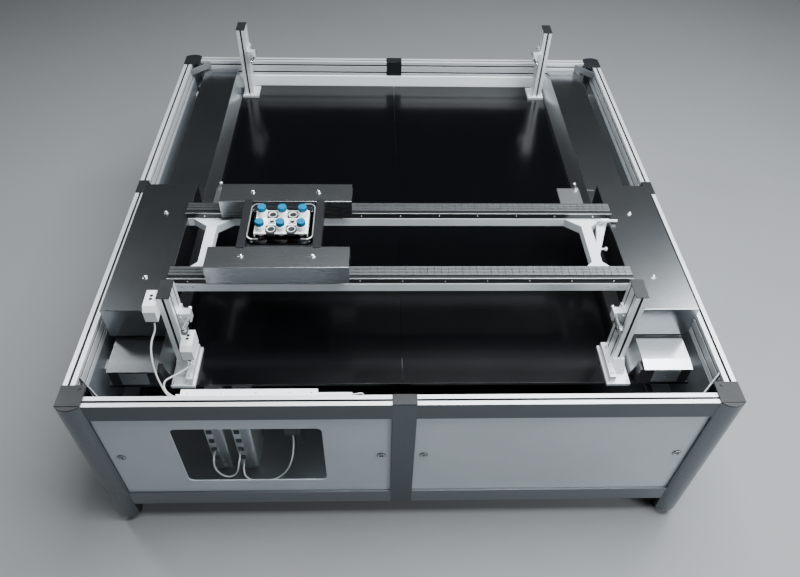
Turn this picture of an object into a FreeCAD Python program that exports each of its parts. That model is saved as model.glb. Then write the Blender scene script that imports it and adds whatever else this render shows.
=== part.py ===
import FreeCAD
import Part
import math
import os
import Sketcher

# Two-axis planar gantry with levitated carriages in a square machine frame.
#
# Row frame: millimetres, +Z up, +X to the right, +Y to the back. The origin is on the floor under
# the middle of the frame. The gantry bridge runs along X and travels along Y over two covered
# magnet tracks; the carriage travels along X over the bridge's own two magnet rails.

Vector = FreeCAD.Vector
Rotation = FreeCAD.Rotation

DIMENSIONS = {
    # machine frame
    "frame_width": 2200,
    "rail_depth": 40,
    "rail_height": 80,
    "rail_top": 780,
    "leg_size": 80,
    "leg_bottom": 40,
    "foot_radius": 32,
    "low_rail_top": 200,
    "mid_post_width": 80,
    "cap_thickness": 6,
    "slot_mouth": 8.2,
    "slot_cavity": 16,
    "slot_lip": 4.5,
    "slot_depth": 11,
    # panels and quarter-turn locks
    "panel_thickness": 4,
    "panel_inset": 8,
    "panel_gap": 1,
    "window_left": 780,
    "window_right": 275,
    "window_low": 281,
    "window_high": 633,
    "window_corner": 22,
    "lock_height": 455,
    "lock_outer": 980,
    "lock_inner": 75,
    "lock_radius": 15,
    "lock_barrel": 9,
    # base plate
    "plate_top": 645,
    "plate_thickness": 12,
    "plate_front": 920,
    "plate_side": 1016,
    "plate_back": 1050,
    "liner_thickness": 4,
    "liner_low": 420,
    "floor_top": 190,
    # magnet tracks at the two sides
    "track_inner": 832,
    "track_outer": 1000,
    "track_foot": 805,
    "track_top": 735,
    "track_front": 886,
    "track_nose": 928,
    "track_back": 1050,
    "track_sheet": 2,
    "magnet_inset": 10,
    "magnet_depth": 20,
    # corner guide posts
    "post_inner": 744,
    "post_outer": 784,
    "post_depth": 80,
    "post_front": 813,
    "post_back": 975,
    "post_top": 1012,
    "post_cap": 3,
    "damper_height": 884,
    "damper_radius": 9,
    # gantry bridge
    "gantry_y": 457,
    "cover_inner": 810,
    "cover_outer": 1017,
    "cover_front": 785,
    "cover_rear": 108,
    "cover_low": 748,
    "cover_top": 880,
    "cover_wall": 2.5,
    "rail_spread": 173,
    "bridge_rail_end": 816,
    "bridge_rail_half": 31,
    "bridge_rail_base": 904,
    "bridge_rail_top": 910,
    "tube_low": 845,
    "tube_depth": 35,
    # carriage
    "carriage_left": 675,
    "carriage_right": 184,
    "carriage_half": 52,
    "carriage_low": 902,
    "carriage_top": 980,
    "bridge_left": 577,
    "bridge_right": 284,
    "bridge_low": 945,
    "bridge_floor": 960,
    "bridge_top": 983,
    "bar_width": 29,
    "tray_left": 547,
    "tray_right": 314,
    "tray_front": 550,
    "tray_back": 357,
    "tray_top": 988,
    "tray_wall": 4,
    "tray_floor": 3,
    "tray_corner": 24,
    "tray_notch": 42,
    "tray_sill": 8,
    "rack_top": 980,
    "rack_sheet": 4,
    "bottle_radius": 17.5,
    "bottle_pitch": 73,
    "bottle_row": 78,
    "cap_radius": 16,
    "cap_base": 1004,
    "cap_top": 1020,
    "knob_radius": 6.5,
    "knob_height": 9,
    # cables
    "cable_radius": 3,
}

doc = FreeCAD.newDocument("planar_gantry")
sheet = doc.addObject("Spreadsheet::Sheet", "dims")
for row, (alias, number) in enumerate(DIMENSIONS.items(), start=1):
    sheet.set(f"A{row}", alias)
    sheet.set(f"B{row}", str(number))
    sheet.setAlias(f"B{row}", alias)
doc.recompute()

SIDES = (-1, 1)
nodes = []


# ---------------------------------------------------------------- sizes bound to the sheet

class Size:
    """A length that carries the sheet expression it comes from."""

    def __init__(self, value, text):
        self.value = float(value)
        self.text = text

    def __add__(self, other):
        other = as_size(other)
        return Size(self.value + other.value, f"({self.text} + {other.text})")

    __radd__ = __add__

    def __neg__(self):
        return Size(-self.value, f"(-1 * {self.text})")

    def __sub__(self, other):
        return self + (-as_size(other))

    def __rsub__(self, other):
        return as_size(other) - self

    def __mul__(self, factor):
        return Size(self.value * factor, f"({self.text} * ({factor:.10g}))")

    __rmul__ = __mul__

    def __truediv__(self, factor):
        return self * (1.0 / factor)


def as_size(number):
    if isinstance(number, Size):
        return number
    return Size(number, f"({number:.10g})")


def dim(alias):
    return Size(DIMENSIONS[alias], f"dims.{alias}")


def bind(obj, prop, size):
    obj.setExpression(prop, as_size(size).text)


def place(obj, corner, rotation=None):
    """Put an object at a corner or centre given as three sizes."""
    if rotation is not None:
        obj.Placement = FreeCAD.Placement(Vector(), rotation)
    for axis, size in zip("xyz", corner):
        bind(obj, f"Placement.Base.{axis}", size)
    return obj


# ---------------------------------------------------------------- primitives and booleans

def block(name, low, high):
    """A rectangular solid between two corners."""
    box = doc.addObject("Part::Box", name)
    for prop, start, end in zip(("Length", "Width", "Height"), low, high):
        bind(box, prop, as_size(end) - start)
    return place(box, low)


AXIS_TURN = {
    "x": Rotation(Vector(0, 1, 0), 90),
    "y": Rotation(Vector(1, 0, 0), -90),
    "z": Rotation(),
}


def disc(name, centre, radius, length, axis="z"):
    """A cylinder from its centre of base along +X, +Y or +Z."""
    cylinder = doc.addObject("Part::Cylinder", name)
    bind(cylinder, "Radius", radius)
    bind(cylinder, "Height", length)
    return place(cylinder, centre, AXIS_TURN[axis])


def fuse(name, shapes):
    joined = doc.addObject("Part::MultiFuse", name)
    joined.Shapes = shapes
    return joined


def cut(name, base, tools):
    result = doc.addObject("Part::Cut", name)
    result.Base = base
    result.Tool = tools[0] if len(tools) == 1 else fuse(f"{name}_tools", tools)
    return result


def group(name, solids):
    """Separate identical solids that share one node."""
    compound = doc.addObject("Part::Compound", name)
    compound.Links = solids
    return compound


def node(obj, name):
    """Name a finished sub-part; the label is the name of its file."""
    obj.Label = name
    nodes.append(obj)
    return obj


# ---------------------------------------------------------------- sketches and bodies

def new_body(name):
    return doc.addObject("PartDesign::Body", name)


def new_sketch(body, name, height=0):
    """A sketch on the body's own XY plane, lifted by height."""
    sketch = body.newObject("Sketcher::SketchObject", name)
    plane = next(item for item in body.Origin.OriginFeatures if item.Role == "XY_Plane")
    sketch.AttachmentSupport = [(plane, "")]
    sketch.MapMode = "FlatFace"
    bind(sketch, "AttachmentOffset.Base.z", height)
    return sketch


def pin(sketch, edge, end, x, y):
    for kind, size in (("DistanceX", as_size(x)), ("DistanceY", as_size(y))):
        index = sketch.addConstraint(Sketcher.Constraint(kind, -1, 1, edge, end, size.value))
        sketch.setExpression(f"Constraints[{index}]", size.text)


def flat(x, y):
    return Vector(as_size(x).value, as_size(y).value, 0)


def draw_polygon(sketch, points):
    """A closed outline of straight edges with every corner placed from the origin."""
    first = sketch.GeometryCount
    count = len(points)
    for index, start in enumerate(points):
        end = points[(index + 1) % count]
        sketch.addGeometry(Part.LineSegment(flat(*start), flat(*end)))
    for index in range(count):
        after = first + (index + 1) % count
        sketch.addConstraint(Sketcher.Constraint("Coincident", first + index, 2, after, 1))
    for index, (x, y) in enumerate(points):
        pin(sketch, first + index, 1, x, y)


def draw_circle(sketch, x, y, radius):
    radius = as_size(radius)
    index = sketch.addGeometry(Part.Circle(flat(x, y), Vector(0, 0, 1), radius.value))
    pin(sketch, index, 3, x, y)
    rule = sketch.addConstraint(Sketcher.Constraint("Radius", index, radius.value))
    sketch.setExpression(f"Constraints[{rule}]", radius.text)


def draw_leg_outline(sketch, half):
    """A square whose outward side bulges into an arc through its two corners."""
    radius = half.value * math.sqrt(2)
    arc = Part.Arc(flat(-half, -half), Vector(0, -radius, 0), flat(half, -half))
    sketch.addGeometry(arc)
    sketch.addGeometry(Part.LineSegment(flat(half, -half), flat(half, half)))
    sketch.addGeometry(Part.LineSegment(flat(half, half), flat(-half, half)))
    sketch.addGeometry(Part.LineSegment(flat(-half, half), flat(-half, -half)))
    starts_left = (arc.StartPoint - flat(-half, -half)).Length < radius
    left_end, right_end = (1, 2) if starts_left else (2, 1)
    sketch.addConstraint(Sketcher.Constraint("Coincident", 0, right_end, 1, 1))
    sketch.addConstraint(Sketcher.Constraint("Coincident", 1, 2, 2, 1))
    sketch.addConstraint(Sketcher.Constraint("Coincident", 2, 2, 3, 1))
    sketch.addConstraint(Sketcher.Constraint("Coincident", 3, 2, 0, left_end))
    pin(sketch, 1, 1, half, -half)
    pin(sketch, 1, 2, half, half)
    pin(sketch, 2, 2, -half, half)
    pin(sketch, 3, 2, -half, -half)
    sketch.addConstraint(Sketcher.Constraint("PointOnObject", 0, 3, -1))


def pad(body, sketch, name, length):
    feature = body.newObject("PartDesign::Pad", name)
    feature.Profile = sketch
    bind(feature, "Length", length)
    sketch.Visibility = False
    return feature


def pocket(body, sketch, name, depth, upwards=False):
    """Cut down into the body from the sketch, or up into it when upwards is set."""
    feature = body.newObject("PartDesign::Pocket", name)
    feature.Profile = sketch
    bind(feature, "Length", depth)
    feature.Reversed = upwards
    return feature


def round_edges(body, name, base, edges, radius, kind="Fillet"):
    feature = body.newObject(f"PartDesign::{kind}", name)
    feature.Base = (base, edges)
    bind(feature, "Radius" if kind == "Fillet" else "Size", radius)
    return feature


def upright_edges(shape, accept=lambda x, y: True):
    """The names of the straight edges along Z at places that accept takes."""
    names = []
    for index, edge in enumerate(shape.Edges, start=1):
        if len(edge.Vertexes) != 2:
            continue
        start, end = (vertex.Point for vertex in edge.Vertexes)
        leans = math.hypot(end.x - start.x, end.y - start.y)
        if leans < 1e-6 and accept(start.x, start.y):
            names.append(f"Edge{index}")
    return names


def is_between(value, low, high):
    return low.value - 0.1 < value < high.value + 0.1


def rectangle(low, high):
    return [(low[0], low[1]), (high[0], low[1]), (high[0], high[1]), (low[0], high[1])]


def revolved(name, profile):
    """A turned piece: profile is (radius, height) pairs from the axis out and back to it."""
    body = new_body(name)
    sketch = body.newObject("Sketcher::SketchObject", f"{name}_profile")
    plane = next(item for item in body.Origin.OriginFeatures if item.Role == "XZ_Plane")
    sketch.AttachmentSupport = [(plane, "")]
    sketch.MapMode = "FlatFace"
    draw_polygon(sketch, profile)
    doc.recompute()
    feature = body.newObject("PartDesign::Revolution", f"{name}_turn")
    feature.Profile = sketch
    feature.ReferenceAxis = (sketch, ["V_Axis"])
    feature.Angle = 360
    return body


# ---------------------------------------------------------------- aluminium profile

def groove(middle, along, inward):
    """The eight corners of one T-slot, in the order the outline passes them."""
    mouth = dim("slot_mouth") / 2
    cavity = dim("slot_cavity") / 2
    lip = dim("slot_lip")
    depth = dim("slot_depth")
    steps = ((-mouth, 0), (-mouth, lip), (-cavity, lip), (-cavity, depth),
             (cavity, depth), (cavity, lip), (mouth, lip), (mouth, 0))
    points = []
    for travel, sink in steps:
        x = middle[0] + travel * along[0] + as_size(sink) * inward[0]
        y = middle[1] + travel * along[1] + as_size(sink) * inward[1]
        points.append((x, y))
    return points


def profile_outline(width, height, bottom=(), right=(), top=(), left=()):
    """A rectangular profile with T-slots at the given places on its four sides."""
    points = [(as_size(0), as_size(0))]
    for place_along in bottom:
        points += groove((place_along, as_size(0)), (1, 0), (0, 1))
    points.append((width, as_size(0)))
    for place_along in right:
        points += groove((width, place_along), (0, 1), (-1, 0))
    points.append((width, height))
    for place_along in top:
        points += groove((place_along, height), (-1, 0), (0, -1))
    points.append((as_size(0), height))
    for place_along in left:
        points += groove((as_size(0), place_along), (0, -1), (1, 0))
    return points


ALONG_X = Rotation(Vector(1, 1, 1), 120)
ALONG_Y = Rotation(Vector(1, 0, 0), 90)


def extrusion(name, outline, length, corner, rotation=None):
    """An outline in the body's XY plane, drawn out along its Z and then placed."""
    body = new_body(name)
    sketch = new_sketch(body, f"{name}_section")
    draw_polygon(sketch, outline)
    pad(body, sketch, f"{name}_length", length)
    return place(body, corner, rotation or Rotation())


# ---------------------------------------------------------------- machine frame

half_frame = dim("frame_width") / 2
inner_face = half_frame - dim("rail_depth")
leg_face = half_frame - dim("leg_size")
rail_low = dim("rail_top") - dim("rail_height")
mid_half = dim("mid_post_width") / 2
CORNERS = {
    "front_left": (-1, -1, 0),
    "front_right": (1, -1, 0),
    "back_right": (1, 1, 180),
    "back_left": (-1, 1, 180),
}


def corner_leg(name, side_x, side_y, turn):
    """An 80 mm corner profile with one bulged face, towards the front or the back of the frame."""
    half = dim("leg_size") / 2
    body = new_body(name)
    sketch = new_sketch(body, f"{name}_section")
    draw_leg_outline(sketch, half)
    pad(body, sketch, f"{name}_length", dim("rail_top") - dim("leg_bottom"))
    centre = half_frame - half
    spot = (centre * side_x, centre * side_y, dim("leg_bottom"))
    return place(body, spot, Rotation(Vector(0, 0, 1), turn))


def leg_cap(name, side_x, side_y, turn):
    """The plastic end cap of a leg: a raised square, a lower round lip and a plug dimple."""
    half = dim("leg_size") / 2
    thickness = dim("cap_thickness")
    body = new_body(name)
    base = new_sketch(body, f"{name}_base")
    draw_leg_outline(base, half)
    pad(body, base, f"{name}_plate", thickness - 2)
    square = new_sketch(body, f"{name}_square")
    draw_polygon(square, rectangle((-half, -half), (half, half)))
    pad(body, square, f"{name}_raised", thickness)
    dimple = new_sketch(body, f"{name}_dimple", thickness)
    draw_circle(dimple, (half - 17) * (side_x * side_y), half - 17, 5)
    pocket(body, dimple, f"{name}_plug", 2.5)
    centre = half_frame - half
    return place(body, (centre * side_x, centre * side_y, dim("rail_top")),
                 Rotation(Vector(0, 0, 1), turn))


def levelling_foot(name, side_x, side_y):
    """A round foot pad with its threaded spindle and lock nut."""
    pad_edge = dim("foot_radius")
    body = revolved(name, [(as_size(0), as_size(0)), (pad_edge, as_size(0)),
                           (pad_edge, as_size(7)), (pad_edge - 9, as_size(14)),
                           (as_size(8), as_size(15)), (as_size(8), as_size(28)),
                           (as_size(13), as_size(28)), (as_size(13), dim("leg_bottom")),
                           (as_size(0), dim("leg_bottom"))])
    centre = half_frame - dim("leg_size") / 2
    return place(body, (centre * side_x, centre * side_y, 0), Rotation())


def top_rail(name, along_x, side, half):
    """One half of a top rail, with one slot on top and two on its inner face."""
    depth = dim("rail_depth")
    height = dim("rail_height")
    inner = (height / 4, height * 0.75)
    if side < 0:
        outline = profile_outline(depth, height, right=inner, top=(depth / 2,))
    else:
        outline = profile_outline(depth, height, left=tuple(reversed(inner)), top=(depth / 2,))
    length = leg_face - mid_half
    across = -half_frame if side < 0 else inner_face
    if along_x:
        start = -leg_face if half < 0 else mid_half
        return extrusion(name, outline, length, (start, across, rail_low), ALONG_X)
    start = -mid_half if half < 0 else leg_face
    return extrusion(name, outline, length, (across, start, rail_low), ALONG_Y)


def low_rail(name, along_x, side, half):
    """One half of a bottom rail, a plain closed profile."""
    across = (-half_frame, -inner_face) if side < 0 else (inner_face, half_frame)
    along = (-leg_face, -mid_half) if half < 0 else (mid_half, leg_face)
    low = dim("low_rail_top") - dim("rail_height")
    span_x, span_y = (along, across) if along_x else (across, along)
    return block(name, (span_x[0], span_y[0], low), (span_x[1], span_y[1], dim("low_rail_top")))


def mid_post(name, along_x, side, low, high):
    """The post in the middle of one side of the frame, or its cap, between two heights."""
    across = (-half_frame, -inner_face) if side < 0 else (inner_face, half_frame)
    along = (-mid_half, mid_half)
    span_x, span_y = (along, across) if along_x else (across, along)
    return block(name, (span_x[0], span_y[0], low), (span_x[1], span_y[1], high))


def build_frame():
    caps = []
    feet = []
    for corner, (side_x, side_y, turn) in CORNERS.items():
        node(corner_leg(f"leg_{corner}", side_x, side_y, turn), f"corner_leg_{corner}")
        caps.append(leg_cap(f"cap_{corner}", side_x, side_y, turn))
        feet.append(levelling_foot(f"foot_{corner}", side_x, side_y))
    node(group("feet_group", feet), "levelling_feet")

    top = {}
    low = []
    posts = []
    post_low = dim("low_rail_top") - dim("rail_height")
    for along_x in (True, False):
        for side in SIDES:
            tag = f"{'x' if along_x else 'y'}{'a' if side < 0 else 'b'}"
            for half in SIDES:
                part = f"{tag}{'l' if half < 0 else 'r'}"
                rail = top_rail(f"top_{part}", along_x, side, half)
                top.setdefault((along_x, side), []).append(rail)
                low.append(low_rail(f"low_{part}", along_x, side, half))
            posts.append(mid_post(f"mid_{tag}", along_x, side, post_low, dim("rail_top")))
            cap_top = dim("rail_top") + 4
            caps.append(mid_post(f"midcap_{tag}", along_x, side, dim("rail_top"), cap_top))
    node(group("front_rails", top[(True, -1)]), "top_rails_front")
    node(group("back_rails", top[(True, 1)]), "top_rails_back")
    node(group("side_rails", top[(False, -1)] + top[(False, 1)]), "top_rails_sides")
    node(group("low_rails", low), "bottom_rails")
    node(group("mid_post_group", posts), "mid_posts")
    node(group("cap_group", caps), "frame_caps")


def build_corner_brackets():
    """Diagonal strips across the inner corners of the top rails."""
    reach = 88
    width = 6
    brackets = []
    for corner, (side_x, side_y, _turn) in CORNERS.items():
        a = inner_face - reach
        points = [(a * side_x, inner_face * side_y),
                  ((a + width) * side_x, inner_face * side_y),
                  (inner_face * side_x, (a + width) * side_y),
                  (inner_face * side_x, a * side_y)]
        brackets.append(extrusion(f"bracket_{corner}", points, 33, (0, 0, 742)))
    node(group("bracket_group", brackets), "corner_brackets")


# ---------------------------------------------------------------- panels and locks

panel_low = dim("low_rail_top") + dim("panel_gap")
panel_high = rail_low - dim("panel_gap")
panel_out = half_frame - dim("panel_inset")
panel_in = panel_out - dim("panel_thickness")
lock_places = [-dim("lock_outer"), -dim("lock_inner"), dim("lock_inner"), dim("lock_outer")]


def front_panel(name, side):
    """A front panel with the round seats of its two quarter-turn locks."""
    near = mid_half + dim("panel_gap")
    far = leg_face - dim("panel_gap")
    body = new_body(name)
    outline = new_sketch(body, f"{name}_outline")
    low, high = (-far, -near) if side < 0 else (near, far)
    draw_polygon(outline, rectangle((low, panel_low), (high, panel_high)))
    pad(body, outline, f"{name}_sheet", dim("panel_thickness"))
    seats = new_sketch(body, f"{name}_seats", dim("panel_thickness"))
    for x in lock_places:
        if x.value * side > 0:
            draw_circle(seats, x, dim("lock_height"), dim("lock_barrel") + 0.06)
    pocket(body, seats, f"{name}_lock_holes", dim("panel_thickness"))
    return body


def build_front_panels():
    upright = Rotation(Vector(1, 0, 0), 90)
    plain = front_panel("plain_panel", 1)
    node(place(plain, (0, -panel_in, 0), upright), "front_plain_panel")

    body = front_panel("window_panel", -1)
    low = (-dim("window_left"), dim("window_low"))
    high = (-dim("window_right"), dim("window_high"))
    opening = new_sketch(body, "window_opening", dim("panel_thickness"))
    draw_polygon(opening, rectangle(low, high))
    window = pocket(body, opening, "window_cut", dim("panel_thickness"))
    doc.recompute()
    inside = [point.value for point in (low[0], high[0])]
    edges = upright_edges(window.Shape, lambda x, y: min(abs(x - edge) for edge in inside) < 0.1)
    round_edges(body, "window_corners", window, edges, dim("window_corner"))
    node(place(body, (0, -panel_in, 0), upright), "front_window_panel")

    margin = 14
    pane = block("pane", (low[0] - margin, -panel_in, low[1] - margin),
                 (high[0] + margin, 3 - panel_in, high[1] + margin))
    node(pane, "window_pane")


def build_plain_panels():
    near = mid_half + dim("panel_gap")
    far = leg_face - dim("panel_gap")
    side_sheets = []
    back_sheets = []
    for half in SIDES:
        low, high = (-far, -near) if half < 0 else (near, far)
        tag = "a" if half < 0 else "b"
        back_sheets.append(block(f"back_sheet_{tag}", (low, panel_in, panel_low),
                                 (high, panel_out, panel_high)))
        side_sheets.append(block(f"left_sheet_{tag}", (-panel_out, low, panel_low),
                                 (-panel_in, high, panel_high)))
        side_sheets.append(block(f"right_sheet_{tag}", (panel_in, low, panel_low),
                                 (panel_out, high, panel_high)))
    node(group("side_sheet_group", side_sheets), "side_panels")
    node(group("back_sheet_group", back_sheets), "back_panels")


def panel_lock(name, x, towards):
    """A quarter-turn lock: slotted head, barrel through the panel and cam behind it."""
    height = dim("lock_height")
    head = disc(f"{name}_head", (x, -panel_out - 3, height), dim("lock_radius"), 2.95, "y")
    barrel = disc(f"{name}_barrel", (x, -panel_out - 1, height), dim("lock_barrel"), 20, "y")
    slot = block(f"{name}_slot", (x - 9, -panel_out - 3, height - 1.5),
                 (x + 9, -panel_out - 1.6, height + 1.5))
    reach = x + towards * 33
    ends = (reach, x) if towards < 0 else (x, reach)
    cam = block(f"{name}_cam", (ends[0], -panel_out + 16, height - 7),
                (ends[1], -panel_out + 19, height + 7))
    solid = fuse(f"{name}_solid", [head, barrel, cam])
    return cut(name, solid, [slot])


def build_locks():
    for index, (x, towards) in enumerate(zip(lock_places, (-1, 1, -1, 1)), start=1):
        node(panel_lock(f"lock_{index}", x, towards), f"panel_lock_{index}")


# ---------------------------------------------------------------- base plate and lining

def build_base():
    seam = 0.5
    low = dim("plate_top") - dim("plate_thickness")
    left = block("plate_left", (-dim("plate_side"), -dim("plate_front"), low),
                 (-as_size(seam), dim("plate_back"), dim("plate_top")))
    right = block("plate_right", (seam, -dim("plate_front"), low),
                  (dim("plate_side"), dim("plate_back"), dim("plate_top")))
    node(group("plate_pair", [left, right]), "base_plates")

    edge = dim("liner_thickness")
    end = leg_face - 2
    back = block("liner_back", (-end, inner_face - edge, dim("liner_low")),
                 (end, inner_face, rail_low))
    liners = [back]
    for side in SIDES:
        span = (-inner_face, -inner_face + edge) if side < 0 else (inner_face - edge, inner_face)
        name = "liner_left" if side < 0 else "liner_right"
        liners.append(block(name, (span[0], -end, dim("liner_low")), (span[1], end, rail_low)))
    node(group("liner_group", liners), "inner_liners")

    top = dim("floor_top")
    wide = block("floor_wide", (-inner_face, -leg_face, top - 4), (inner_face, leg_face, top))
    deep = block("floor_deep", (-leg_face, -inner_face, top - 4), (leg_face, inner_face, top))
    node(fuse("floor_sheet", [wide, deep]), "cabinet_floor")

    supports = []
    reach = inner_face - edge
    for name, middle in (("front", -820), ("middle", 60), ("back", 980)):
        supports.append(block(f"support_{name}", (-reach, middle - 20, low - 80),
                              (reach, middle + 20, low)))
    node(group("support_group", supports), "plate_supports")


# ---------------------------------------------------------------- magnet tracks

def track_section(side):
    """Section of a track beam: a flat top with a magnet channel and a leaning inner side."""
    top = dim("track_top") - dim("track_sheet")
    inset = dim("magnet_inset")
    floor = top - dim("magnet_depth")
    points = [(dim("track_foot"), dim("plate_top")), (dim("track_outer"), dim("plate_top")),
              (dim("track_outer"), top), (dim("track_outer") - inset, top),
              (dim("track_outer") - inset, floor), (dim("track_inner") + inset, floor),
              (dim("track_inner") + inset, top), (dim("track_inner"), top)]
    if side > 0:
        return points
    return [(-x, z) for x, z in reversed(points)]


def end_sheet(name, side):
    """The front cover sheet of a track, creased so that its nose points down a little."""
    top = dim("track_top")
    thin = dim("track_sheet")
    crease = dim("track_front")
    nose = dim("track_nose")
    drop = 7
    outline = [(-dim("cover_front"), top), (-dim("cover_front"), top - thin),
               (-crease, top - thin), (-nose, top - thin - drop),
               (-nose, top - drop), (-crease, top)]
    start = dim("track_inner") if side > 0 else -dim("track_outer")
    return extrusion(name, outline, dim("track_outer") - dim("track_inner"), (start, 0, 0), ALONG_X)


def end_block(tag, side):
    """The block that closes the front of a track, with a drilled aluminium plate on its face."""
    low, high = span_at(side, dim("track_inner") - 10, dim("track_outer"))
    face = -dim("track_nose") + 6
    base = dim("plate_top")
    filler = block(f"filler_{tag}", (low, face, base), (high, -dim("track_front"), base + 76))
    centre = (dim("track_inner") + dim("track_outer")) * 0.5 * side
    plate = block(f"end_{tag}", (centre - 46, face - 5, base + 12), (centre + 46, face, base + 74))
    hole = disc(f"end_hole_{tag}", (centre, face - 6, base + 44), 5, 7, "y")
    return fuse(f"end_whole_{tag}", [filler, cut(f"end_plate_{tag}", plate, [hole])])


def build_tracks():
    beams = []
    magnets = []
    covers = []
    plates = []
    top = dim("track_top")
    thin = dim("track_sheet")
    length = dim("track_front") + dim("track_back")
    seam = 42
    for side in SIDES:
        tag = "left" if side < 0 else "right"
        body = extrusion(f"beam_{tag}", track_section(side), length,
                         (0, dim("track_back"), 0), ALONG_Y)
        beams.append(body)
        inner = dim("track_inner") + dim("magnet_inset") + 1
        outer = dim("track_outer") - dim("magnet_inset") - 1
        low, high = (-outer, -inner) if side < 0 else (inner, outer)
        floor = top - thin - dim("magnet_depth")
        magnets.append(block(f"magnet_{tag}", (low, -dim("track_front") + 30, floor),
                             (high, dim("track_back") - 10, top - thin)))
        edges = (dim("track_inner"), dim("track_outer"))
        low, high = (-edges[1], -edges[0]) if side < 0 else edges
        middle_start = -dim("cover_front") + 1.5
        covers.append(end_sheet(f"nose_{tag}", side))
        covers.append(block(f"sheet_middle_{tag}", (low, middle_start, top - thin),
                            (high, seam - 1.5, top)))
        covers.append(block(f"sheet_back_{tag}", (low, seam, top - thin),
                            (high, dim("track_back"), top)))
        plates.append(end_block(tag, side))
    node(group("beam_group", beams), "track_beams")
    node(group("magnet_group", magnets), "track_magnets")
    node(group("track_sheet_group", covers), "track_covers")
    node(group("end_plate_group", plates), "track_end_plates")


# ---------------------------------------------------------------- guide posts and their fittings

POST_PLACES = [("front_left", -1, "post_front"), ("front_right", 1, "post_front"),
               ("back_left", -1, "post_back"), ("back_right", 1, "post_back")]


def post_middle(alias):
    """The Y of a post's middle: the front posts stand at negative Y."""
    return -dim(alias) if alias == "post_front" else dim(alias)


def span_at(side, inner, outer):
    return (-as_size(outer), -as_size(inner)) if side < 0 else (as_size(inner), as_size(outer))


def guide_post(name, side, middle):
    width = dim("post_outer") - dim("post_inner")
    depth = dim("post_depth")
    quarter = (depth / 4, depth * 0.75)
    outline = profile_outline(width, depth, bottom=(width / 2,), right=quarter,
                              top=(width / 2,), left=tuple(reversed(quarter)))
    low = dim("plate_top") + 12
    corner = (span_at(side, dim("post_inner"), dim("post_outer"))[0], middle - depth / 2, low)
    return extrusion(name, outline, dim("post_top") - low, corner)


def post_foot(name, side, middle, toe):
    """Foot plate; a long toe also carries a front angle block and an inner clamp rail."""
    base = dim("plate_top")
    half = dim("post_depth") / 2
    low, high = span_at(side, dim("post_inner") - 28, dim("post_outer") + 14)
    plate = block(f"{name}_plate", (low, middle - half - toe, base),
                  (high, middle + half + 8, base + 12))
    if toe < 40:
        return plate
    low, high = span_at(side, dim("post_inner"), dim("post_outer"))
    corner_block = [(middle - half, base + 12), (middle - half, base + 58),
                    (middle - half - 8, base + 58), (middle - half - 40, base + 24),
                    (middle - half - 40, base + 12)]
    wedge = extrusion(f"{name}_wedge", corner_block, dim("post_outer") - dim("post_inner"),
                      (low, 0, 0), ALONG_X)
    low, high = span_at(side, dim("post_inner") - 22, dim("post_inner"))
    rail = block(f"{name}_rail", (low, middle - half - 74, base + 12),
                 (high, middle + half, base + 42))
    return fuse(name, [plate, wedge, rail])


def ball_pin(length, stem):
    """The profile of a pin with a ball of 8 mm radius on its end."""
    ball = 8
    points = [(as_size(0), as_size(0)), (as_size(stem), as_size(0)), (as_size(stem), as_size(length))]
    for angle in (-60, -45, -30, -15, 0, 15, 30, 45, 60, 75):
        across = ball * math.cos(math.radians(angle))
        rise = ball * (1 + math.sin(math.radians(angle)))
        points.append((as_size(across), as_size(length + rise)))
    points.append((as_size(0), as_size(length + 2 * ball)))
    return points


def turned_to(towards):
    """The turn that lays an upright piece along +Y or -Y."""
    return Rotation(Vector(1, 0, 0), -90 * towards)


damper_x = dim("post_inner") - 28
damper_z = dim("damper_height")


def stop_bracket(name, side, middle, shift):
    """A bored clamp block on a plate that is bolted to the post's inner side."""
    low, high = span_at(side, dim("post_inner") - 40, dim("post_inner"))
    arm = block(f"{name}_arm", (low, middle + shift - 14, damper_z - 14),
                (high, middle + shift + 14, damper_z + 25))
    low, high = span_at(side, dim("post_inner") - 8, dim("post_inner"))
    plate = block(f"{name}_plate", (low, middle + shift - 14, damper_z - 22),
                  (high, middle + 32, damper_z + 28))
    bore = disc(f"{name}_bore", (damper_x * side, middle + shift - 15, damper_z),
                dim("damper_radius") + 0.05, 30, "y")
    return cut(name, fuse(f"{name}_solid", [arm, plate]), [bore])


def stop_damper(name, side, tip, towards):
    """A damper along Y with its ball at the end that faces the gantry, and a lock nut."""
    x = damper_x * side
    away = -towards
    ball = revolved(f"{name}_ball", ball_pin(18, 4))
    place(ball, (x, tip + 26 * away, damper_z), turned_to(towards))
    barrel = disc(f"{name}_barrel", (x, tip + (-112 if away < 0 else 22), damper_z),
                  dim("damper_radius"), 90, "y")
    nut = disc(f"{name}_nut", (x, tip + (-106 if away < 0 else 92), damper_z),
               dim("damper_radius") + 3, 14, "y")
    return fuse(name, [ball, barrel, nut])


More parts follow.
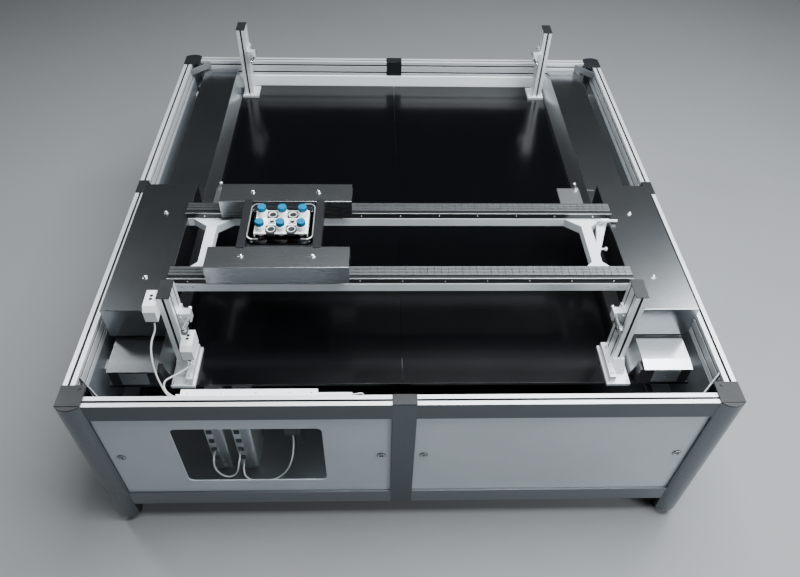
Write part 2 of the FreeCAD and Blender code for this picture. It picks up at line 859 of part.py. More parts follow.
def build_posts():
    posts = {"post_front": [], "post_back": []}
    caps = []
    feet = []
    brackets = []
    screws = []
    for tag, side, alias in POST_PLACES:
        middle = post_middle(alias)
        posts[alias].append(guide_post(f"post_{tag}", side, middle))
        low, high = span_at(side, dim("post_inner") - 1, dim("post_outer") + 1)
        half = dim("post_depth") / 2 + 1
        caps.append(block(f"post_cap_{tag}", (low, middle - half, dim("post_top")),
                          (high, middle + half, dim("post_top") + dim("post_cap"))))
        toe = 82 if alias == "post_front" else 10
        feet.append(post_foot(f"post_foot_{tag}", side, middle, toe))
        if alias == "post_front":
            brackets.append(stop_bracket(f"stop_{tag}", side, middle, 0))
            screws.append(stop_damper(f"damper_{tag}", side, middle + 36, 1))
        else:
            brackets.append(stop_bracket(f"stop_{tag}", side, middle, -48))
            screws.append(stop_damper(f"damper_{tag}", side, middle - 113, -1))
    node(group("front_posts", posts["post_front"]), "guide_posts_front")
    node(group("back_posts", posts["post_back"]), "guide_posts_back")
    node(group("post_cap_group", caps), "post_caps")
    node(group("post_foot_group", feet), "post_feet")
    node(group("stop_group", brackets), "stop_brackets")
    node(group("stop_damper_group", screws), "stop_dampers")


# ---------------------------------------------------------------- sensors, light bar, controllers

def sensor_box(name, low_x, low_y, low_z):
    """A small sensor housing with a slanted front edge, two lenses and a cable socket."""
    width, depth, height = 39.5, 82, 60
    outline = [(low_y, low_z), (low_y + depth, low_z), (low_y + depth, low_z + height),
               (low_y + 14, low_z + height), (low_y, low_z + height - 16)]
    shell = extrusion(f"{name}_shell", outline, width, (low_x, 0, 0), ALONG_X)
    eyes = []
    for index, offset in enumerate((44, 58)):
        centre = (low_x + width / 2, low_y + offset, low_z + height - 3)
        eyes.append(disc(f"{name}_eye_{index}", centre, 4, 4))
    socket = disc(f"{name}_socket", (low_x + width / 2, low_y + 12, low_z - 14), 6.5, 15)
    return fuse(f"{name}_whole", [cut(f"{name}_body", shell, eyes), socket])


def tangent_path(points, report):
    """Straight runs joined by tangent arcs that reach 0.45 of the shorter run."""
    edges = []
    previous = points[0]
    for before, corner, after in zip(points, points[1:], points[2:]):
        run_in = corner - before
        run_out = after - corner
        turn = run_in.getAngle(run_out)
        reach = 0.45 * min(run_in.Length, run_out.Length)
        radius = reach / math.tan(turn / 2)
        report.append(radius)
        way_in = run_in / run_in.Length
        way_out = run_out / run_out.Length
        inward = way_out - way_in
        inward = inward / inward.Length
        start = corner - way_in * reach
        end = corner + way_out * reach
        middle = corner + inward * (radius / math.cos(turn / 2) - radius)
        edges.append(Part.LineSegment(previous, start).toShape())
        edges.append(Part.Arc(start, middle, end).toShape())
        previous = end
    edges.append(Part.LineSegment(previous, points[-1]).toShape())
    return Part.Wire(edges)


def cable(name, points, radius):
    """A round cable swept along its route; its volume is compared with section times length."""
    radii = []
    route = [Vector(*point) for point in points]
    path = tangent_path(route, radii)
    section = Part.Circle(route[0], route[1] - route[0], radius).toShape()
    solid = path.makePipeShell([Part.Wire([section])], True, False)
    expected = math.pi * radius * radius * path.Length
    print(name, "length", round(path.Length), "smallest radius", round(min(radii), 1),
          "volume ratio", round(solid.Volume / expected, 4))
    feature = doc.addObject("Part::Feature", name)
    feature.Shape = solid
    feature.Placement = FreeCAD.Placement()
    return feature


def build_sensors():
    upper = sensor_box("sensor_upper", -dim("post_outer") - 39.5, as_size(-890), as_size(945))
    lower = sensor_box("sensor_lower", -dim("post_inner"), as_size(-900), as_size(758))
    node(group("sensor_group", [upper, lower]), "sensor_boxes")
    radius = sheet.get("cable_radius")
    upper_x = -sheet.get("post_outer") - 39.5 / 2
    lower_x = -sheet.get("post_inner") + 39.5 / 2
    node(cable("upper_lead", [(upper_x, -878, 931), (upper_x, -878, 900), (-823, -910, 864),
                              (-823, -942, 820), (-822, -956, 765), (-812, -970, 712),
                              (-795, -985, 668), (-750, -990, 622), (-694, -978, 600),
                              (-694, -978, 560)], radius),
         "sensor_cable_upper")
    node(cable("lower_lead", [(lower_x, -888, 744), (lower_x, -888, 718), (-752, -910, 709),
                              (-784, -928, 704), (-812, -946, 700), (-808, -968, 674),
                              (-775, -974, 640), (-720, -962, 612), (-664, -945, 602),
                              (-664, -945, 560)], radius),
         "sensor_cable_lower")


def build_light_bar():
    """The white lamp bar behind the front rail, with its thin arm and wire hook."""
    top = dim("rail_top") - 5
    bar = block("bar_long", (-720, -inner_face, top - 30), (-281, -inner_face + 29, top))
    tab = block("bar_tab", (-738, -inner_face, top - 30), (-720, -inner_face + 20, top - 14))
    arm = block("bar_arm", (-281, -inner_face + 8, top - 12), (-170, -inner_face + 18, top - 5))
    solid = fuse("bar_solid", [bar, tab, arm])
    screws = []
    for index, x in enumerate((-700, -590, -480, -370, -300)):
        screws.append(disc(f"bar_screw_{index}", (x, -inner_face + 14, top - 2), 3, 3))
    drilled = cut("bar_drilled", solid, screws)
    y = -sheet.get("frame_width") / 2 + sheet.get("rail_depth") + 13
    z = sheet.get("rail_top") - 13.5
    hook = cable("bar_hook", [(-172, y, z), (-158, y, z), (-147, y + 1, z + 4), (-138, y + 3, z + 1),
                              (-133, y + 4, z - 8), (-136, y + 4, z - 18)], 1.6)
    node(fuse("bar_whole", [drilled, hook]), "light_bar")


def controller(name, low_x, width):
    """A tall drive controller with cooling fins, a front cover and connector sockets."""
    floor = dim("floor_top")
    shell = block(f"{name}_shell", (low_x, -990, floor), (low_x + width, -860, floor + 370))
    cover = block(f"{name}_cover", (low_x + 6, -1000, floor + 30),
                  (low_x + width - 6, -990, floor + 352))
    sockets = []
    for index, height in enumerate((92, 150, 208, 266, 310)):
        sockets.append(block(f"{name}_socket_{index}", (low_x + 10, -1001, floor + height),
                             (low_x + 30, -993, floor + height + 22)))
    return cut(name, fuse(f"{name}_solid", [shell, cover]), sockets)


def build_controllers():
    first = controller("controller_first", -712, 66)
    second = controller("controller_second", -614, 68)
    box = block("junction", (-424, -1000, 440), (-372, -960, 500))
    arm = block("junction_arm", (-424, -960, 470), (-372, -880, 474))
    post = block("junction_post", (-408, -900, dim("floor_top")), (-388, -880, 470))
    junction = fuse("junction_whole", [box, arm, post])
    node(group("controller_group", [first, second, junction]), "controllers")
    radius = sheet.get("cable_radius")
    first_loop = cable("loop_first", [(-694, -1000, 330), (-694, -1048, 330), (-682, -1056, 272),
                                      (-648, -1058, 240), (-612, -1056, 266), (-600, -1046, 322),
                                      (-600, -1000, 322)], radius)
    second_loop = cable("loop_second", [(-594, -1000, 262), (-594, -1050, 262), (-572, -1060, 222),
                                        (-520, -1058, 208), (-465, -1054, 222), (-425, -1046, 270),
                                        (-402, -1026, 332), (-398, -980, 385), (-398, -980, 440)],
                        radius)
    node(group("loop_group", [first_loop, second_loop]), "controller_cables")


# ---------------------------------------------------------------- gantry bridge

def shell_cover(name, low, high, ends_open=False):
    """A folded sheet cover, open below; ends_open leaves out its two end walls along X."""
    wall = dim("cover_wall")
    body = new_body(name)
    outline = new_sketch(body, f"{name}_outline")
    draw_polygon(outline, rectangle(low[:2], high[:2]))
    solid = pad(body, outline, f"{name}_block", high[2] - low[2])
    doc.recompute()
    rounded = round_edges(body, f"{name}_bends", solid, ["Face6"], 2)
    doc.recompute()
    hollow = new_sketch(body, f"{name}_inside")
    side = as_size(-1) if ends_open else wall
    draw_polygon(hollow, rectangle((low[0] + side, low[1] + wall), (high[0] - side, high[1] - wall)))
    hollow_cut = pocket(body, hollow, f"{name}_hollow", high[2] - low[2] - wall, upwards=True)
    doc.recompute()
    if hollow_cut.Shape.Volume > rounded.Shape.Volume * 0.9:
        raise RuntimeError(f"{name} is not hollow")
    return place(body, (0, 0, low[2]), Rotation())


def knob(name, x, y, z):
    """A domed cover screw."""
    edge = dim("knob_radius")
    tall = dim("knob_height")
    body = revolved(name, [(as_size(0), as_size(0)), (edge, as_size(0)), (edge, tall - 5),
                           (edge - 1.5, tall - 2), (edge - 4, tall - 0.5), (as_size(0), tall)])
    return place(body, (x, y, z), Rotation())


def rail_y(side):
    return -dim("gantry_y") + dim("rail_spread") * side


def build_gantry_ends():
    vessels = []
    knobs = []
    for side in SIDES:
        tag = "left" if side < 0 else "right"
        low_x, high_x = span_at(side, dim("cover_inner"), dim("cover_outer"))
        cover = shell_cover(f"gantry_cover_{tag}", (low_x, -dim("cover_front"), dim("cover_low")),
                            (high_x, -dim("cover_rear"), dim("cover_top")))
        node(cover, f"end_cover_{tag}")
        low_x, high_x = span_at(side, dim("cover_inner") + 12, dim("cover_outer") - 12)
        vessels.append(block(f"vessel_{tag}", (low_x, -dim("cover_front") + 15, dim("cover_low") - 5),
                             (high_x, -dim("cover_rear") - 15, dim("cover_top") - dim("cover_wall"))))
        for rail in SIDES:
            spot = f"knob_{tag}_{'front' if rail < 0 else 'back'}"
            knobs.append(knob(spot, as_size(900) * side, rail_y(rail) + 1, dim("cover_top")))
    node(group("vessel_group", vessels), "end_cryostats")
    node(group("end_knob_group", knobs), "end_cover_knobs")


def build_bridge_rails():
    """Two black rail bodies, each with three rows of magnets let into its top."""
    end = dim("bridge_rail_end")
    half = dim("bridge_rail_half")
    tile = 13
    gap = 2
    strips = []
    rails = []
    for side in SIDES:
        tag = "front" if side < 0 else "back"
        y = rail_y(side)
        base = block(f"bridge_rail_{tag}", (-end, y - half, dim("cover_top")),
                     (end, y + half, dim("bridge_rail_base")))
        rails.append(base)
        for row_index in range(3):
            low_y = y - half + 13 + (tile + gap) * row_index
            strips.append(block(f"magnet_row_{tag}_{row_index}",
                                (-end, low_y, dim("bridge_rail_base")),
                                (end, low_y + tile, dim("bridge_rail_top"))))
    node(group("rail_pair", rails), "cross_rails")
    node(group("strip_group", strips), "rail_magnets")


def stop_plate(tag, side):
    """A plate behind the back rail with a lug and a ball pin that meets the back damper."""
    start = rail_y(1) + 1
    end = as_size(-128)
    top = dim("cover_top")
    low, high = span_at(side, 640, 730)
    plate = block(f"stop_plate_sheet_{tag}", (low, start, top - 8), (high, end, top))
    x = damper_x * side
    lug = block(f"stop_plate_lug_{tag}", (x - 6, end - 14, top), (x + 6, end, top + 9))
    pin_part = revolved(f"stop_plate_ball_{tag}", ball_pin(20, 4))
    place(pin_part, (x, end - 6, damper_z), turned_to(1))
    return fuse(f"stop_plate_{tag}", [plate, lug, pin_part])


def build_bridge_frame():
    """The white tube frame under the rails: two tubes, two cross members, one brace."""
    low = dim("tube_low")
    top = dim("cover_top")
    end = dim("cover_inner")
    tubes = []
    faces = []
    for side in SIDES:
        start = rail_y(side) - dim("bridge_rail_half") - 3
        tag = "front" if side < 0 else "back"
        tube = block(f"tube_{tag}", (-end, start, low), (end, start + dim("tube_depth"), top))
        holes = []
        for place_x in (-end + 40, -end + 78, end - 78, end - 40):
            holes.append(disc(f"tube_hole_{tag}_{len(holes)}", (place_x, start - 1, low + 17), 3.5,
                              8, "y"))
        tubes.append(cut(f"tube_drilled_{tag}", tube, holes))
        faces.append((start, start + dim("tube_depth")))
    node(group("tube_group", tubes), "frame_tubes")
    plates = [stop_plate("left", -1), stop_plate("right", 1)]
    node(group("stop_plate_group", plates), "stop_plates")

    front = faces[0][1]
    back = faces[1][0]
    members = []
    flare = 56
    reach = 42
    wide = 76
    for side in SIDES:
        tag = "left" if side < 0 else "right"
        low_x, high_x = span_at(side, 694, 732)
        bar = block(f"member_{tag}", (low_x, front, low), (high_x, back, top))
        wide_flare = extrusion(f"flare_front_{tag}",
                               [(low_x - wide, front), (high_x + wide, front),
                                (high_x, front + wide), (low_x, front + wide)],
                               top - low, (0, 0, low))
        back_flare = extrusion(f"flare_back_{tag}",
                               [(low_x - flare, back), (low_x, back - reach),
                                (high_x, back - reach), (high_x + flare, back)],
                               top - low, (0, 0, low))
        members.append(fuse(f"cross_{tag}", [bar, wide_flare, back_flare]))
    node(group("member_group", members), "cross_members")

    brace = extrusion("brace_bar", [(as_size(732), front + 112), (as_size(732), front + 162),
                                    (as_size(760), back - 21), (as_size(788), back),
                                    (as_size(805), back)],
                      20, (0, 0, 850))
    rod = disc("brace_rod", (as_size(757), back - 22, as_size(892)), 5, 77, "x")
    stem = disc("brace_stem", (as_size(784), back - 22, as_size(868)), 7, 24)
    grip = disc("brace_grip", (as_size(768), back - 22, as_size(892)), 8, 34, "x")
    pin_stem = disc("brace_pin_stem", (as_size(740), back - 147, as_size(860)), 4, 26, "x")
    pin_head = disc("brace_pin_head", (as_size(766), back - 147, as_size(860)), 8, 7, "x")
    node(fuse("brace_whole", [brace, rod, stem, grip, pin_stem, pin_head]), "frame_brace")


# ---------------------------------------------------------------- carriage and its load

tray_x = (dim("tray_left") + dim("tray_right")) / -2
tray_y = (dim("tray_front") + dim("tray_back")) / -2


def build_carriage_covers():
    vessels = []
    screws = []
    low_x = -dim("carriage_left")
    high_x = -dim("carriage_right")
    half = dim("carriage_half")
    for side in SIDES:
        tag = "front" if side < 0 else "back"
        y = rail_y(side)
        cover = shell_cover(f"slide_cover_{tag}", (low_x, y - half, dim("carriage_low")),
                            (high_x, y + half, dim("carriage_top")), ends_open=True)
        node(cover, f"carriage_cover_{tag}")
        vessels.append(block(f"slide_vessel_{tag}", (low_x + 8, y - half + 7, dim("carriage_low") + 16),
                             (high_x - 8, y + half - 7, dim("carriage_top") - dim("cover_wall"))))
        for place_x in (low_x + 120, high_x - 125):
            screws.append(knob(f"slide_knob_{tag}_{len(screws)}", place_x, y + 4,
                               dim("carriage_top")))
    for step_x in SIDES:
        for step_y in SIDES:
            x = tray_x + (dim("tray_left") - dim("tray_right")) / 2 * step_x - 15 * step_x
            y = tray_y + (dim("tray_front") - dim("tray_back")) / 2 * step_y - 15 * step_y
            top = dim("bridge_floor") + dim("tray_floor")
            screws.append(disc(f"tray_screw_{len(screws)}", (x, y, top), 4.5, 3))
    node(group("slide_vessel_group", vessels), "carriage_cryostats")
    node(group("screw_group", screws), "carriage_screws")


def build_bridge_plate():
    """The black plate between the covers: two raised side bars and a sunk middle."""
    front = rail_y(-1) + dim("carriage_half")
    back = rail_y(1) - dim("carriage_half")
    low = (-dim("bridge_left"), front)
    high = (-dim("bridge_right"), back)
    body = new_body("bridge")
    outline = new_sketch(body, "bridge_outline")
    draw_polygon(outline, rectangle(low, high))
    solid = pad(body, outline, "bridge_block", dim("bridge_top") - dim("bridge_low"))
    doc.recompute()
    middle = new_sketch(body, "bridge_middle", dim("bridge_top") - dim("bridge_low"))
    bar = dim("bar_width")
    draw_polygon(middle, rectangle((low[0] + bar, low[1] - 1), (high[0] - bar, high[1] + 1)))
    sunk = pocket(body, middle, "bridge_recess", dim("bridge_top") - dim("bridge_floor"))
    doc.recompute()
    if sunk.Shape.Volume > solid.Shape.Volume * 0.8:
        raise RuntimeError("the bridge plate has no recess")
    place(body, (0, 0, dim("bridge_low")), Rotation())
    lips = []
    top = dim("bridge_top")
    for index, start in enumerate((low[0], high[0] - bar)):
        for edge, reach in ((front - 8, front), (back, back + 8)):
            lips.append(block(f"bridge_lip_{index}_{len(lips)}", (start, edge, dim("carriage_top")),
                              (start + bar, reach, top)))
    node(fuse("bridge_whole", [body] + lips), "bridge_plate")


def build_tray():
    """The clear tray, with rounded corners and open front and back, sunk in the bridge plate."""
    low = (-dim("tray_left"), -dim("tray_front"))
    high = (-dim("tray_right"), -dim("tray_back"))
    height = dim("tray_top") - dim("bridge_floor")
    corner = dim("tray_corner")
    wall = dim("tray_wall")
    body = new_body("clear_tray")
    outline = new_sketch(body, "tray_outline")
    draw_polygon(outline, rectangle(low, high))
    solid = pad(body, outline, "tray_block", height)
    inside = new_sketch(body, "tray_inside", height)
    inner_low = (low[0] + wall, low[1] + wall)
    inner_high = (high[0] - wall, high[1] - wall)
    draw_polygon(inside, rectangle(inner_low, inner_high))
    hollow = pocket(body, inside, "tray_hollow", height - dim("tray_floor"))
    doc.recompute()
    if hollow.Shape.Volume > solid.Shape.Volume * 0.5:
        raise RuntimeError("the tray is not hollow")
    edges = upright_edges(hollow.Shape, lambda x, y: is_between(x, inner_low[0], inner_high[0])
                          and is_between(y, inner_low[1], inner_high[1]))
    inner = round_edges(body, "tray_inner_corners", hollow, edges, corner - wall)
    doc.recompute()
    edges = upright_edges(inner.Shape, lambda x, y: not is_between(x, inner_low[0], inner_high[0])
                          and not is_between(y, inner_low[1], inner_high[1]))
    round_edges(body, "tray_corners", inner, edges, corner)
    doc.recompute()
    notch = dim("tray_notch")
    gap = new_sketch(body, "tray_gap", height)
    draw_polygon(gap, rectangle((low[0] + notch, low[1] - 2), (high[0] - notch, high[1] + 2)))
    pocket(body, gap, "tray_notches", height - dim("tray_sill"))
    node(place(body, (0, 0, dim("bridge_floor")), Rotation()), "tray")


bottle_columns = [tray_x + dim("bottle_pitch") * step for step in (-1, 0, 1)]
bottle_rows = [tray_y + 4 - dim("bottle_row") / 2, tray_y + 4 + dim("bottle_row") / 2]
vial_columns = [tray_x + dim("bottle_pitch") * step for step in (-0.5, 0.5)]
rack_floor = dim("bridge_floor") + dim("tray_floor")


def rack_sheet(name, height):
    """One sheet of the rack, with holes for the bottles and rings for empty places."""
    half_x = dim("bottle_pitch") + 22
    low = (tray_x - half_x, bottle_rows[0] - 23)
    high = (tray_x + half_x, bottle_rows[1] + 23)
    body = new_body(name)
    outline = new_sketch(body, f"{name}_outline")
    draw_polygon(outline, rectangle(low, high))
    pad(body, outline, f"{name}_sheet", dim("rack_sheet"))
    holes = new_sketch(body, f"{name}_holes", dim("rack_sheet"))
    for x in bottle_columns:
        for y in bottle_rows:
            draw_circle(holes, x, y, dim("bottle_radius") + 0.4)
    for x in vial_columns:
        for y in bottle_rows:
            draw_circle(holes, x, y, 12.5)
        draw_circle(holes, x, (bottle_rows[0] + bottle_rows[1]) / 2, 8.5)
    pocket(body, holes, f"{name}_cut", dim("rack_sheet"))
    return place(body, (0, 0, height), Rotation())


def build_rack():
    upper = rack_sheet("rack_upper", dim("rack_top") - dim("rack_sheet"))
    half_x = dim("bottle_pitch") + 22
    walls = []
    for side in SIDES:
        low_x, high_x = (-half_x, -half_x + 3) if side < 0 else (half_x - 3, half_x)
        walls.append(block(f"rack_wall_{'left' if side < 0 else 'right'}",
                           (tray_x + low_x, bottle_rows[0] - 23, rack_floor),
                           (tray_x + high_x, bottle_rows[1] + 23, dim("rack_top") - 1)))
    node(fuse("rack_whole", [upper] + walls), "bottle_rack")


def build_bottles():
    """Squat bottles with a shoulder and neck, and their ribbed screw caps."""
    bottles = []
    caps = []
    body_edge = dim("bottle_radius")
    cap_edge = dim("cap_radius")
    neck = cap_edge - 3.5
    tall = dim("cap_base") - rack_floor
    cap_tall = dim("cap_top") - dim("cap_base")
    for x in bottle_columns:
        for y in bottle_rows:
            index = len(bottles)
            bottle = revolved(f"bottle_{index}",
                              [(as_size(0), as_size(0)), (body_edge - 1.5, as_size(0)),
                               (body_edge, as_size(1.5)), (body_edge, tall - 6),
                               (body_edge - 1.5, tall - 2.5), (neck, tall - 0.5),
                               (neck, tall + cap_tall - 3), (neck - 2, tall + cap_tall - 3),
                               (neck - 2, tall - 3), (body_edge - 3, tall - 7),
                               (body_edge - 3, as_size(3)), (as_size(0), as_size(3))])
            bottles.append(place(bottle, (x, y, rack_floor), Rotation()))
            cap = revolved(f"bottle_cap_{index}",
                           [(neck + 0.1, as_size(0)), (cap_edge, as_size(0)),
                            (cap_edge, cap_tall - 1.5), (cap_edge - 1.5, cap_tall),
                            (as_size(0), cap_tall), (as_size(0), cap_tall - 2.5),
                            (neck + 0.1, cap_tall - 2.5)])
            caps.append(place(cap, (x, y, dim("cap_base")), Rotation()))
    node(group("bottle_group", bottles), "bottles")
    node(group("bottle_cap_group", caps), "bottle_caps")


# ---------------------------------------------------------------- whole machine

def check_document():
    doc.recompute()
    failed = [obj.Name for obj in doc.Objects if "Invalid" in obj.State or "Error" in obj.State]
    if failed:
        raise RuntimeError(f"failed objects: {failed}")
    for part in nodes:
        if part.Shape.isNull() or not part.Shape.isValid() or not part.Shape.Solids:
            raise RuntimeError(f"{part.Label} has no valid shape")


def write_parts():
    os.makedirs("parts", exist_ok=True)
    for part in nodes:
        part.Shape.exportStep(f"parts/{part.Label}.step")
    print(len(nodes), "parts written")


def main():
    build_frame()
    build_corner_brackets()
    build_front_panels()
    build_plain_panels()
    build_locks()
    build_base()
    build_tracks()
    build_posts()
    build_sensors()
    build_light_bar()
    build_controllers()
    build_gantry_ends()
    build_bridge_rails()
    build_bridge_frame()
    build_carriage_covers()
    build_bridge_plate()
    build_tray()
    build_rack()
    build_bottles()
    check_document()
    write_parts()


main()
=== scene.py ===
"""Levitated planar gantry in an aluminium machine frame.

Adds materials, cables, small parts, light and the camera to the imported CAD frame. Lengths in the
piece builders are in millimetres; shaders, cords, lights and the camera are in metres."""

import math
import random

import bmesh
import bpy
from mathutils import Matrix, Vector


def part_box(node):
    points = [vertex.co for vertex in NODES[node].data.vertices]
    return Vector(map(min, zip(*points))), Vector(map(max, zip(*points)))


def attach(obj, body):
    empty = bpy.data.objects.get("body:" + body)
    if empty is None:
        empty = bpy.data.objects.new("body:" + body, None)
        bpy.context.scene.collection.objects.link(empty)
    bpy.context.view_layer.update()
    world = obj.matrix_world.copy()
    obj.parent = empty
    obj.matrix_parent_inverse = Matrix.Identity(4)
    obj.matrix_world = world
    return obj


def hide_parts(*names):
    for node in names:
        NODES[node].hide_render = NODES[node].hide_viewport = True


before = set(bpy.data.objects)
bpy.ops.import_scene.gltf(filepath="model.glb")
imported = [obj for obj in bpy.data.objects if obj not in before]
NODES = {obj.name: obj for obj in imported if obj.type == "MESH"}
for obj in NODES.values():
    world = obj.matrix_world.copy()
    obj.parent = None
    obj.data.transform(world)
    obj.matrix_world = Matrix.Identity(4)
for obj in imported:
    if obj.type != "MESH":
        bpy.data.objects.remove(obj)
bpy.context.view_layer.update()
MM = 0.001
SHARP_ANGLE = math.radians(32)    # edges that turn by more than this stay sharp
EDGE = 0.0012                     # broken edge of sheet and profiles, in metres
COAT_EDGE = 0.001                 # of coated parts
PLASTIC_EDGE = 0.0008             # of moulded plastic

# Planes that tell the faces of one CAD node apart, in metres.
FRAME_OUTSIDE = 1.0996            # |x| or |y| beyond which a rail face looks outward and gets painted shade
LINER_SIDE = 1.0555               # |x| beyond which a lining is a side one
TRACK_END_FRONT = -0.9225         # y before which the track end is its aluminium plate
JUNCTION_BOX_LEFT = -0.47         # x from which the controllers node is the junction box
TRAY_MIDDLE_X = -0.4305
TRAY_CORNER_REACH = 0.095         # |x| from the tray's middle to its front corner blocks
TRAY_CORNER_BACK = -0.535         # y where those blocks end
TRAY_RIM_FROM = 0.9872            # z where the tray's polished rim starts

# The rails' magnet tiles, in millimetres.
TILE_PITCH = 25.0
TILE_ROW_PITCH = 15

# Painted shade: the colour put into the slots of the profiles, where shade falls in them.
SLOT_SHADE = (0.035, 0.038, 0.042, 1.0)
STUDIO_WHITE = (0.93, 0.97, 1.0)


# ------------------------------------------------------------------ shader building blocks

class Shader:
    """A material with one Principled shader and short ways to hang detail on it."""

    def __init__(self, name, color, metallic=0.0, roughness=0.5, **sockets):
        self.material = bpy.data.materials.new(name)
        self.material.use_nodes = True
        self.tree = self.material.node_tree
        self.shader = self.tree.nodes["Principled BSDF"]
        self.color = tuple(color) + (1.0,)
        self.rough = roughness
        self.shader.inputs["Base Color"].default_value = self.color
        self.shader.inputs["Metallic"].default_value = metallic
        self.shader.inputs["Roughness"].default_value = roughness
        for socket, value in sockets.items():
            self.shader.inputs[socket.replace("_", " ")].default_value = value
        self.coords = self.node("ShaderNodeTexCoord").outputs["Object"]
        self.color_out = None
        self.rough_out = None
        self.normal_out = None

    def node(self, kind, **settings):
        made = self.tree.nodes.new(kind)
        for key, value in settings.items():
            setattr(made, key, value)
        return made

    def link(self, source, target):
        self.tree.links.new(source, target)

    def noise(self, scale, detail=3.0, rough=0.5, stretch=(1, 1, 1)):
        """Noise in object space; a small stretch factor draws it out along that axis."""
        mapping = self.node("ShaderNodeMapping")
        mapping.inputs["Scale"].default_value = stretch
        self.link(self.coords, mapping.inputs["Vector"])
        texture = self.node("ShaderNodeTexNoise")
        texture.inputs["Scale"].default_value = scale
        texture.inputs["Detail"].default_value = detail
        texture.inputs["Roughness"].default_value = rough
        self.link(mapping.outputs["Vector"], texture.inputs["Vector"])
        return texture.outputs["Fac"]

    def spread(self, value, low, high, start=0.3, end=0.7):
        """Maps a value from start..end to low..high."""
        ramp = self.node("ShaderNodeMapRange")
        for socket, number in (("From Min", start), ("From Max", end),
                               ("To Min", low), ("To Max", high)):
            ramp.inputs[socket].default_value = number
        self.link(value, ramp.inputs["Value"])
        return ramp.outputs["Result"]

    def maths(self, operation, first, second=0.0, third=0.0):
        made = self.node("ShaderNodeMath", operation=operation)
        for socket, value in zip(made.inputs, (first, second, third)):
            if isinstance(value, (int, float)):
                socket.default_value = value
            else:
                self.link(value, socket)
        return made.outputs[0]

    def mix_color(self, factor, first, second):
        made = self.node("ShaderNodeMix", data_type="RGBA")
        for socket, value in zip((made.inputs["Factor"], made.inputs[6], made.inputs[7]),
                                 (factor, first, second)):
            if isinstance(value, (tuple, int, float)):
                socket.default_value = value
            else:
                self.link(value, socket)
        return made.outputs[2]

    def tint(self, value, low, high, start=0.3, end=0.7):
        """Varies the brightness of the colour with a value; a second one is averaged in."""
        amount = self.spread(value, 0.0, 1.0, start, end)
        dark = tuple(min(1.0, part * low) for part in self.color[:3]) + (1.0,)
        light = tuple(min(1.0, part * high) for part in self.color[:3]) + (1.0,)
        shade = self.mix_color(amount, dark, light)
        if self.color_out is None:
            self.color_out = shade
        else:
            self.color_out = self.mix_color(0.5, self.color_out, shade)
        return self

    def gloss(self, value, low, high, start=0.3, end=0.7):
        """Varies the roughness with a value, on top of what is there."""
        change = self.spread(value, low, high, start, end)
        if self.rough_out is None:
            self.rough_out = self.maths("ADD", change, self.rough)
        else:
            self.rough_out = self.maths("ADD", self.rough_out, change)
        return self

    def bump(self, value, strength, distance=0.0005):
        made = self.node("ShaderNodeBump")
        made.inputs["Strength"].default_value = strength
        made.inputs["Distance"].default_value = distance
        self.link(value, made.inputs["Height"])
        if self.normal_out is not None:
            self.link(self.normal_out, made.inputs["Normal"])
        self.normal_out = made.outputs["Normal"]
        return self

    def round_edges(self, radius):
        """Lets sharp edges catch the light as if they were broken by this radius."""
        made = self.node("ShaderNodeBevel", samples=6)
        made.inputs["Radius"].default_value = radius
        self.normal_out = made.outputs["Normal"]
        return self

    def axis(self, name):
        split = self.node("ShaderNodeSeparateXYZ")
        self.link(self.coords, split.inputs[0])
        return split.outputs[name]

    def done(self):
        for value, socket in ((self.color_out, "Base Color"), (self.rough_out, "Roughness"),
                              (self.normal_out, "Normal")):
            if value is not None:
                self.link(value, self.shader.inputs[socket])
        return self.material


def along(axis, coarse=0.012):
    """Stretch factors for grain that runs along one axis."""
    return tuple(coarse if name == axis else 1.0 for name in "XYZ")


# Sizes of the procedural textures, as noise scales per metre of object space.
GRAIN = 420                       # brushing of sheet metal
DIE_LINES = 260                   # lines left by the extrusion die
DIE_LINE_STRETCH = 0.004
FINE_GRAIN = 1400                 # anodised surface
SPARK = 1500                      # spark texture of moulded plastic
PEEL = 620                        # orange peel of a coat


def brushed(name, color, axis, roughness=0.28, contrast=0.025, edge=EDGE):
    """Brushed sheet: fine grain along one axis and broad, faint clouding."""
    made = Shader(name, color, 1.0, roughness)
    made.round_edges(edge)
    grain = made.noise(GRAIN, 3, 0.6, along(axis))
    clouds = made.noise(2.6, 3, 0.55)
    made.tint(grain, 1 - contrast, 1 + contrast)
    made.tint(clouds, 0.97, 1.03)
    made.gloss(clouds, -0.008, 0.010).gloss(grain, -0.004, 0.004)
    return made.bump(grain, 0.004, 0.0002).done()


def inside_slots(made, spans):
    """A mask that is 1 where every named coordinate lies inside its span: the slots of a profile.

    Spans are (axis, low, high) in metres; the sign of the coordinate is ignored."""
    mask = 1.0
    for axis, low, high in spans:
        reach = made.maths("ABSOLUTE", made.axis(axis))
        above = made.maths("GREATER_THAN", reach, low)
        below = made.maths("LESS_THAN", reach, high)
        mask = made.maths("MULTIPLY", made.maths("MULTIPLY", above, below), mask)
    return mask


def paint_slot_shade(made, mask):
    """Paints a slot's shade into the colour where the mask is 1."""
    made.color_out = made.mix_color(mask, made.color_out, SLOT_SHADE)


def anodised(name, color, axis, roughness=0.34, contrast=0.05, slots=(), metallic=1.0):
    """Extruded and anodised aluminium: die lines along its length, and painted shade in its slots.
    """
    made = Shader(name, color, metallic, roughness)
    made.round_edges(EDGE)
    lines = made.noise(DIE_LINES, 3, 0.6, along(axis, DIE_LINE_STRETCH))
    grain = made.noise(FINE_GRAIN, 2, 0.5)
    clouds = made.noise(2.4, 2, 0.5)
    made.tint(lines, 1 - contrast, 1 + contrast)
    made.tint(clouds, 1 - contrast * 0.6, 1 + contrast * 0.6)
    made.gloss(lines, -0.006, 0.006).gloss(clouds, -0.01, 0.01)
    # Painted shade in the slots.
    for spans in slots:
        paint_slot_shade(made, inside_slots(made, spans))
    return made.bump(grain, 0.04, 0.0001).done()


